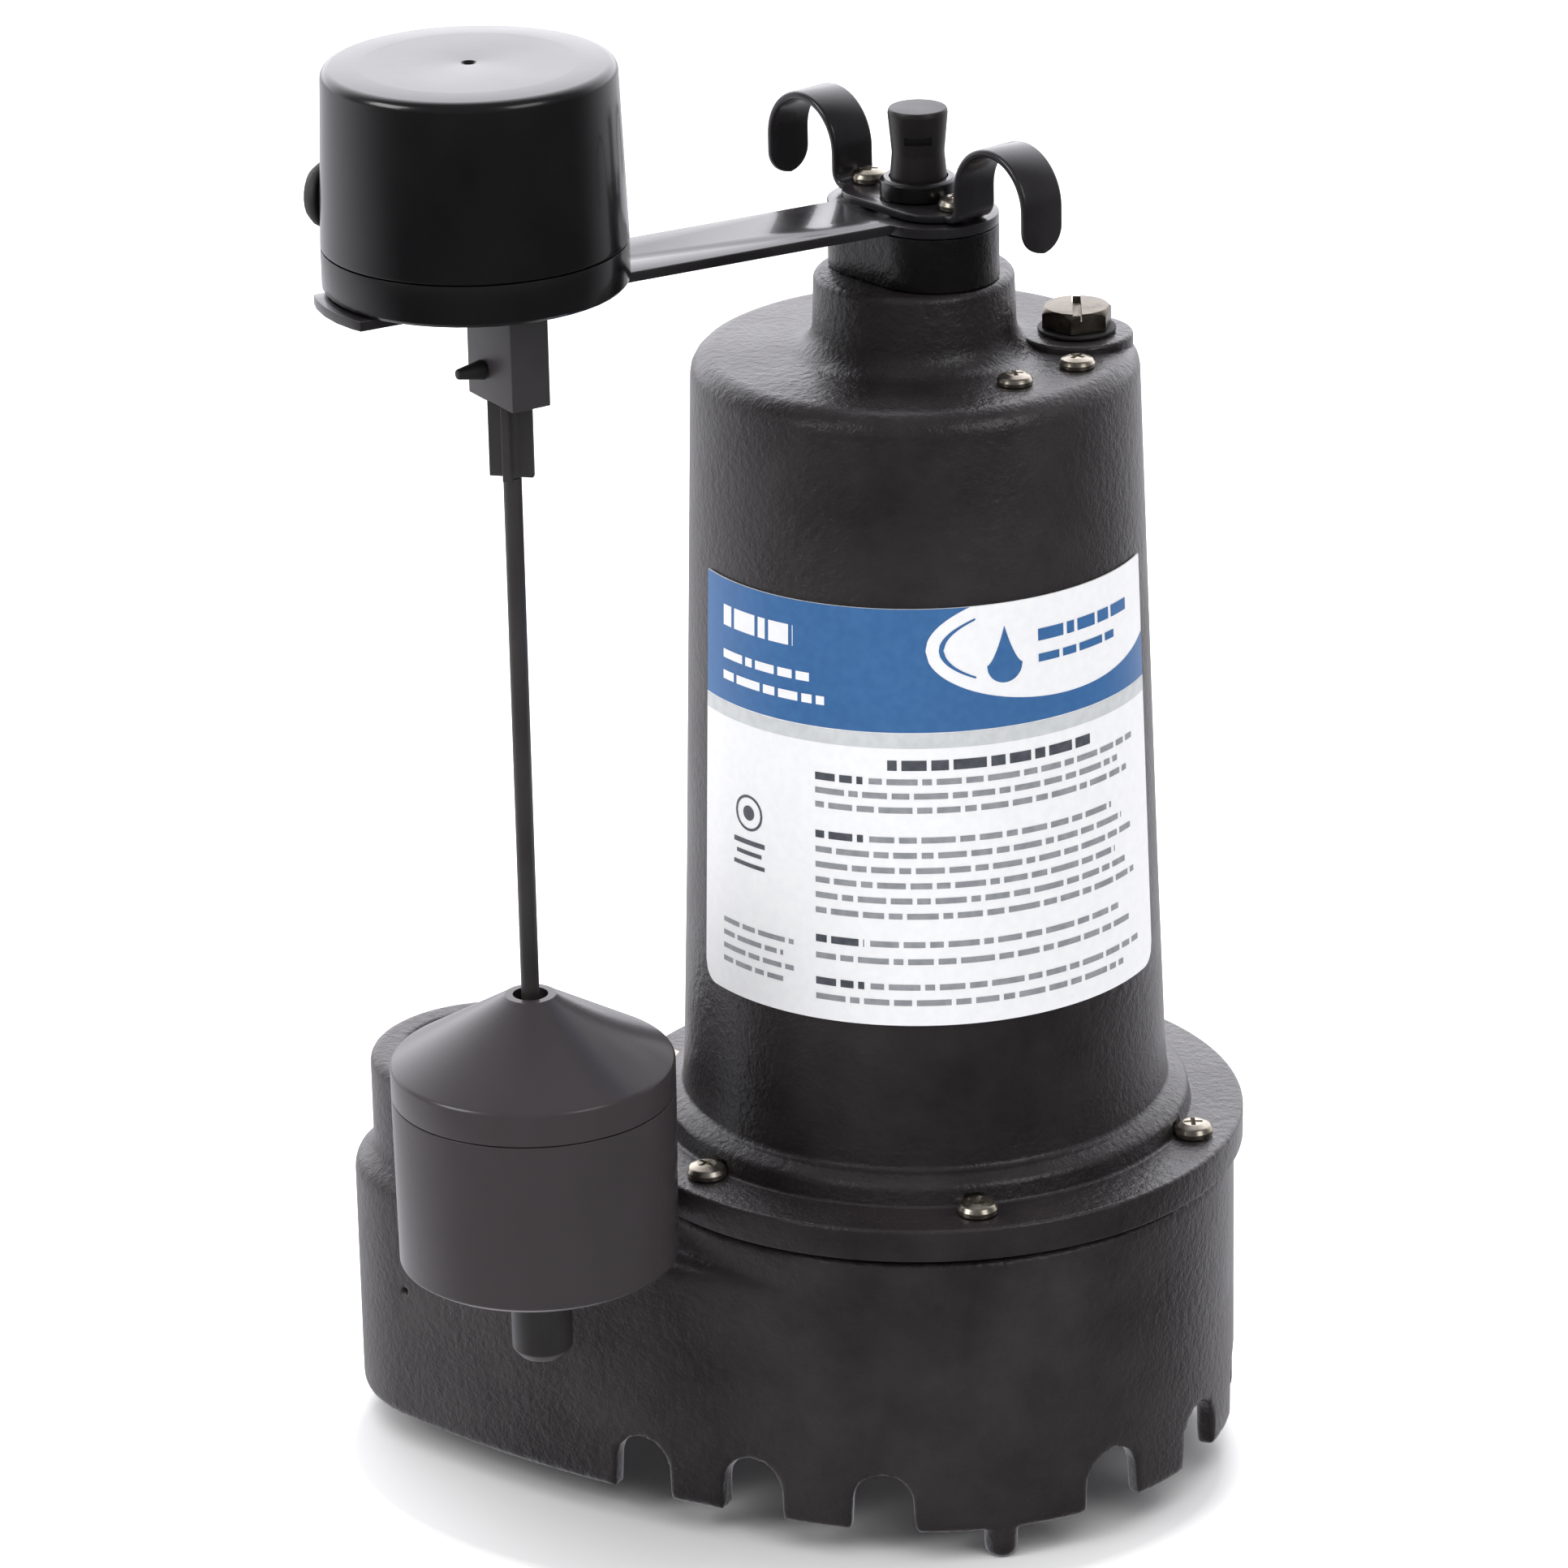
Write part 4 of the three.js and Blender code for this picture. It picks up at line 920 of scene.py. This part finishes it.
float_upper_profile = [
    (FLOAT_R - 0.15, FLOAT_SEAM + 0.3, 0.1),
    (FLOAT_R, FLOAT_SEAM + 0.8),
    (FLOAT_R, FLOAT_SHOULDER, 1.5),
    (7.4, FLOAT_TOP - 0.8, 1.2),
    (6.2, FLOAT_TOP, 0.4),
    (FLOAT_BORE, FLOAT_TOP),
    (FLOAT_BORE, FLOAT_TOP - 5),
    (FLOAT_R - 2.4, FLOAT_SHOULDER - 2.4),
    (FLOAT_R - 2.2, FLOAT_SEAM + 0.3),
]
turned("float_top", float_upper_profile, ROD, FLOAT_GREY, "float_upper_shell", 160)

# ------------------------------------------------------------------ label and its print

LABEL_LOW, LABEL_HIGH = 136.5, 242.5
LABEL_FROM, LABEL_TO = -143.5, -9.5
SKIN = 0.3
BAND_LIFT, INK_LIFT, EMBLEM_LIFT, TITLE_LIFT = 0.44, 0.46, 0.48, 0.5


def strip(start, end, low, high, lift, steps=None):
    """A curved patch on the housing wall between two heights, each a number or a function of the angle."""
    steps = steps or max(2, math.ceil((end - start) / 1.5))
    vertices, faces = [], []
    for k in range(steps + 1):
        angle = start + (end - start) * k / steps
        for edge in (low, high):
            z = edge(angle) if callable(edge) else edge
            x, y = polar(wall_r(z) + SKIN + lift, angle, MOTOR)
            vertices.append((x, y, z))
        if k:
            a = 2 * (k - 1)
            faces.append([a, a + 2, a + 3, a + 1])
    return vertices, faces


def patches(name, strips, material):
    """One piece of flat print made of strips, riding with the pump."""
    vertices, faces = [], []
    for more_vertices, more_faces in strips:
        first = len(vertices)
        vertices += more_vertices
        faces += [[first + v for v in face] for face in more_faces]
    mesh = bpy.data.meshes.new(name)
    mesh.from_pydata([Vector(v) * MM for v in vertices], [], faces)
    mesh.shade_smooth()
    mesh.materials.append(material)
    piece = bpy.data.objects.new(name, mesh)
    bpy.context.scene.collection.objects.link(piece)
    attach(piece, "pump")


def to_degrees(mm):
    """Angle that a length spans on the housing wall at the label's middle."""
    return math.degrees(mm / wall_r(190))


def corner_lift(angle, start, end, radius):
    """How far a rounded corner lifts the lower edge at an angle."""
    reach = to_degrees(radius)
    inside = min(angle - start, end - angle)
    if inside >= reach:
        return 0.0
    return radius * (1 - math.sqrt(max(0.0, 1 - ((reach - inside) / reach) ** 2)))


def bar(start, end, middle, height, lift):
    """One greeked line of print."""
    return strip(start, end, middle - height / 2, middle + height / 2, lift)


def words(start, end, middle, height, seed, lift):
    """A line of print broken into word-like bars; the seed picks the first length."""
    lengths = (5.1, 3.2, 7.4, 2.3, 6.0, 4.2, 8.1, 3.6, 5.6, 2.8, 6.8)
    made, here, k = [], start, seed
    while here < end:
        length = min(lengths[k % len(lengths)], end - here)
        made.append(bar(here, here + length, middle, height, lift))
        here += length + 1.1
        k += 1
    return made


def ellipse_edge(centre, half_angle, middle, half_height, sign):
    """Height of an ellipse's upper (sign 1) or lower (sign -1) half, as a function of the angle."""

    def edge(angle):
        across = min(1.0, abs(angle - centre) / half_angle)
        return middle + sign * half_height * math.sqrt(max(0.0, 1 - across**2))

    return edge


def oval(centre, half_angle, middle, half_height, lift):
    """A filled ellipse on the wall."""
    upper = ellipse_edge(centre, half_angle, middle, half_height, 1)
    lower = ellipse_edge(centre, half_angle, middle, half_height, -1)
    return strip(centre - half_angle, centre + half_angle, lower, upper, lift, 48)


def label_low(angle):
    return LABEL_LOW + corner_lift(angle, LABEL_FROM, LABEL_TO, 5)


film_sections = []
for k in range(181):
    angle = LABEL_FROM + (LABEL_TO - LABEL_FROM) * k / 180
    loop = []
    for lift, z in ((0, label_low(angle)), (0.4, label_low(angle)), (0.4, LABEL_HIGH), (0, LABEL_HIGH)):
        loop.append((*polar(wall_r(z) + SKIN + lift, angle, MOTOR), z))
    film_sections.append(loop)
label = mesh_object("label_film", *loft(film_sections), LABEL_WHITE, "rating_label")

BAND_LOW, STRIPE_LOW = 211.5, 207.5
EDGE = 0.05
OVAL_MIDDLE, OVAL_HALF, OVAL_Z, OVAL_TALL = -40, 38.5, 232, 15
oval_low = ellipse_edge(OVAL_MIDDLE, OVAL_HALF, OVAL_Z, OVAL_TALL, -1)
oval_high = ellipse_edge(OVAL_MIDDLE, OVAL_HALF, OVAL_Z, OVAL_TALL, 1)
BAND_HIGH = LABEL_HIGH
oval_opening = OVAL_MIDDLE - OVAL_HALF * math.sqrt(1 - ((BAND_HIGH - OVAL_Z) / OVAL_TALL) ** 2)
band = [
    strip(LABEL_FROM + EDGE, OVAL_MIDDLE - OVAL_HALF, BAND_LOW, BAND_HIGH, BAND_LIFT),
    strip(OVAL_MIDDLE - OVAL_HALF, LABEL_TO - EDGE, BAND_LOW, oval_low, BAND_LIFT, 90),
    strip(OVAL_MIDDLE - OVAL_HALF, oval_opening, oval_high, BAND_HIGH, BAND_LIFT, 24),
]
patches("label_band", band, LABEL_BLUE)
stripe = strip(LABEL_FROM + EDGE, LABEL_TO - EDGE, STRIPE_LOW, BAND_LOW - 0.2, BAND_LIFT)
patches("label_stripe", [stripe], LABEL_GREY)


def crescent(shift, thickness, reach):
    """A thin arc that follows the inside of the oval's left end."""
    made = []
    for sign in (-1, 1):
        far = ellipse_edge(OVAL_MIDDLE + shift, OVAL_HALF, OVAL_Z, OVAL_TALL - shift, sign)
        near = ellipse_edge(OVAL_MIDDLE + shift + thickness, OVAL_HALF, OVAL_Z, OVAL_TALL - shift, sign)
        start = OVAL_MIDDLE + shift - OVAL_HALF

        def inner(angle, near=near, start=start):
            return OVAL_Z if angle < start + thickness else near(angle)

        low, high = (far, inner) if sign < 0 else (inner, far)
        end = start + reach
        capped = lambda angle, high=high: min(BAND_HIGH, high(angle))
        made.append(strip(start, end, low, capped, EMBLEM_LIFT, 40))
    return made


def droplet(centre, middle, radius):
    """A water drop: round below, pointed above."""
    half = to_degrees(radius)

    def drop_top(angle):
        across = min(1.0, abs(angle - centre) / half)
        return middle + radius * 2.1 * (1 - across) ** 1.5 * (1 - 0.15 * across)

    drop_bottom = ellipse_edge(centre, half, middle, radius, -1)
    return strip(centre - half, centre + half, drop_bottom, drop_top, EMBLEM_LIFT, 36)


emblem = crescent(3.2, 1.3, 9) + [droplet(-59, 227.2, 4.6)]
emblem += words(-50, -19, 233.0, 3.0, 2, EMBLEM_LIFT)
emblem += words(-50, -24, 227.2, 2.0, 4, EMBLEM_LIFT)
patches("label_emblem", emblem, LABEL_BLUE)

title = words(-135.5, -112, 233.4, 5.2, 1, TITLE_LIFT)
title += words(-135.5, -107.5, 223.6, 2.2, 2, TITLE_LIFT)
title += words(-135.5, -103.5, 218.2, 2.2, 5, TITLE_LIFT)
patches("label_title", title, LABEL_WHITE)

heading = words(-88, -35, 203.2, 2.6, 3, INK_LIFT)
bold_words, body_words = [], []
line_rows = [(199 - 3.6 * k, k) for k in range(3)]
line_rows += [(184.2 - 3.9 * k, k + 3) for k in range(6)]
line_rows += [(157.4, 9), (153.0, 10)] + [(146.4, 11), (142.4, 12)]
for z, k in line_rows:
    end = -18 - (7 * k) % 11
    first = k in (0, 3, 9, 11)
    if first:
        bold_words += words(-106, -94, z, 1.9, k, INK_LIFT)
    body_words += words(-92.5 if first else -106, end, z, 1.5, k + 1, INK_LIFT)
address = []
for k in range(4):
    address += words(-135, -112 - 3 * (k % 2), 155 - 3.4 * k, 1.3, k + 4, INK_LIFT)
mark_bars = [
    bar(-131, -120.5, 177.4, 1.3, INK_LIFT),
    bar(-130, -121.5, 174.6, 1.1, INK_LIFT),
    bar(-131, -120.5, 171.6, 1.1, INK_LIFT),
]
patches("label_heading", heading + bold_words + mark_bars, LABEL_INK)
patches("label_small_print", body_words + address, LABEL_PALE_INK)


def ring_strips(centre, middle, outer, inner, lift):
    """A ring drawn as its upper and lower half on the wall."""
    made = []
    for sign in (-1, 1):
        far = ellipse_edge(centre, to_degrees(outer), middle, outer, sign)
        near = ellipse_edge(centre, to_degrees(inner), middle, inner, sign)
        low, high = (far, near) if sign < 0 else (near, far)
        made.append(strip(centre - to_degrees(outer), centre + to_degrees(outer), low, high, lift, 40))
    return made


ring_mark = ring_strips(-125.8, 185, 4.6, 3.9, INK_LIFT)
ring_mark.append(oval(-125.8, to_degrees(1.9), 185, 1.9, INK_LIFT))
patches("label_ring_mark", ring_mark, LABEL_INK)

# ------------------------------------------------------------------ inner parts keep their CAD shape

inner_materials = {
    STEEL: [
        "motor_shaft",
        "lower_bearing_outer",
        "upper_bearing_outer",
        "lower_bearing_inner",
        "upper_bearing_inner",
    ],
    LAMINATION: ["stator_core", "rotor_core"],
    COPPER: ["stator_winding_lower", "stator_winding_upper"],
    BASE_PAINT: ["seal_plate"],
    CERAMIC: ["shaft_seal_seat", "shaft_seal_ring"],
    ALUMINIUM: ["capacitor"],
    ROD_BLACK: ["thermal_protector", "cord_connector", "impeller", "snap_switch"],
    RUBBER: ["shaft_seal_bellows", "snap_switch_button"],
    ZINC: ["capacitor_clamp", "impeller_nut", "lever_pin", "switch_lever"],
}
for material, names in inner_materials.items():
    for name in names:
        for place_of in NODES[name].material_slots:
            place_of.link = "OBJECT"
            place_of.material = material

# ------------------------------------------------------------------ floor, lights and world

floor_material, floor_tree, floor_shader = new_material("floor", (0.93, 0.93, 0.93), 0.65)
floor_shader.inputs["Emission Color"].default_value = (1, 1, 1, 1)
# The floor glows outside an ellipse about the base, so that the inside of the arches stays dark.
floor_place = floor_tree.nodes.new("ShaderNodeTexCoord")
floor_scale = floor_tree.nodes.new("ShaderNodeMapping")
floor_scale.inputs["Scale"].default_value = (1 / 0.115, 1 / 0.082, 1)
floor_reach = floor_tree.nodes.new("ShaderNodeVectorMath")
floor_reach.operation = "LENGTH"
floor_tree.links.new(floor_place.outputs["Object"], floor_scale.inputs["Vector"])
floor_tree.links.new(floor_scale.outputs["Vector"], floor_reach.inputs[0])
floor_glow = spread(floor_tree, floor_reach.outputs["Value"], 0.0, 0.6, 0.96, 1.08)
floor_tree.links.new(floor_glow, floor_shader.inputs["Emission Strength"])
floor_mesh = bpy.data.meshes.new("floor")
floor_mesh.from_pydata([(-6, -6, 0), (6, -6, 0), (6, 6, 0), (-6, 6, 0)], [], [[0, 1, 2, 3]])
floor_mesh.materials.append(floor_material)
floor = bpy.data.objects.new("floor", floor_mesh)
bpy.context.scene.collection.objects.link(floor)
# The floor lights the parts but isn't mirrored in the dark paint.
floor.visible_glossy = False


def soft_light(name, place, target, width, height, power):
    """A rectangular area light aimed at a target, in metres and watts."""
    data = bpy.data.lights.new(name, "AREA")
    data.shape = "RECTANGLE"
    data.size = width
    data.size_y = height
    data.energy = power
    light = bpy.data.objects.new(name, data)
    bpy.context.scene.collection.objects.link(light)
    light.location = Vector(place)
    light.rotation_euler = (Vector(target) - Vector(place)).to_track_quat("-Z", "Y").to_euler()
    return light


overhead = soft_light("light_top", (-0.1, -0.25, 2.0), (0, 0, 0), 3.0, 2.8, 48)
overhead.visible_glossy = False
soft_light("light_left", (-1.5, -1.0, 1.2), (-0.05, 0, 0.2), 0.9, 0.9, 15)
soft_light("light_right", (1.5, -1.0, 1.3), (0.05, 0, 0.2), 0.9, 0.9, 6)

# The studio is darkest on the front side, pale below the horizon and brightest behind and above.
world = bpy.data.worlds.new("studio")
bpy.context.scene.world = world
world.use_nodes = True
sky = world.node_tree
direction = sky.nodes.new("ShaderNodeTexCoord")


def studio_ramp(towards, dark_at, dark, light_at, light):
    """A brightness that runs from dark to light with the direction's part along a vector."""
    along = sky.nodes.new("ShaderNodeVectorMath")
    along.operation = "DOT_PRODUCT"
    along.inputs[1].default_value = towards
    sky.links.new(direction.outputs["Generated"], along.inputs[0])
    ramp = sky.nodes.new("ShaderNodeMapRange")
    ramp.interpolation_type = "SMOOTHSTEP"
    ramp.inputs["From Min"].default_value = dark_at
    ramp.inputs["From Max"].default_value = light_at
    ramp.inputs["To Min"].default_value = dark
    ramp.inputs["To Max"].default_value = light
    sky.links.new(along.outputs["Value"], ramp.inputs["Value"])
    return ramp.outputs["Result"]


away = -Vector((place.x - MOTOR[0], place.y - MOTOR[1], 0)).normalized()
below = studio_ramp(Matrix.Rotation(math.radians(18), 3, "Z") @ away, -0.35, 0.04, 0.7, 0.95)
above = studio_ramp(away, 0.05, 0.16, 0.9, 2.4)
height = studio_ramp(Vector((0, 0, 1)), -0.12, 0, 0.1, 1)
blend = sky.nodes.new("ShaderNodeMix")
blend.data_type = "FLOAT"
sky.links.new(height, blend.inputs["Factor"])
sky.links.new(below, blend.inputs["A"])
sky.links.new(above, blend.inputs["B"])
sky.links.new(blend.outputs["Result"], sky.nodes["Background"].inputs["Strength"])
sky.nodes["Background"].inputs["Color"].default_value = (0.96, 0.95, 1.0, 1)

bpy.context.scene.view_settings.view_transform = "Standard"
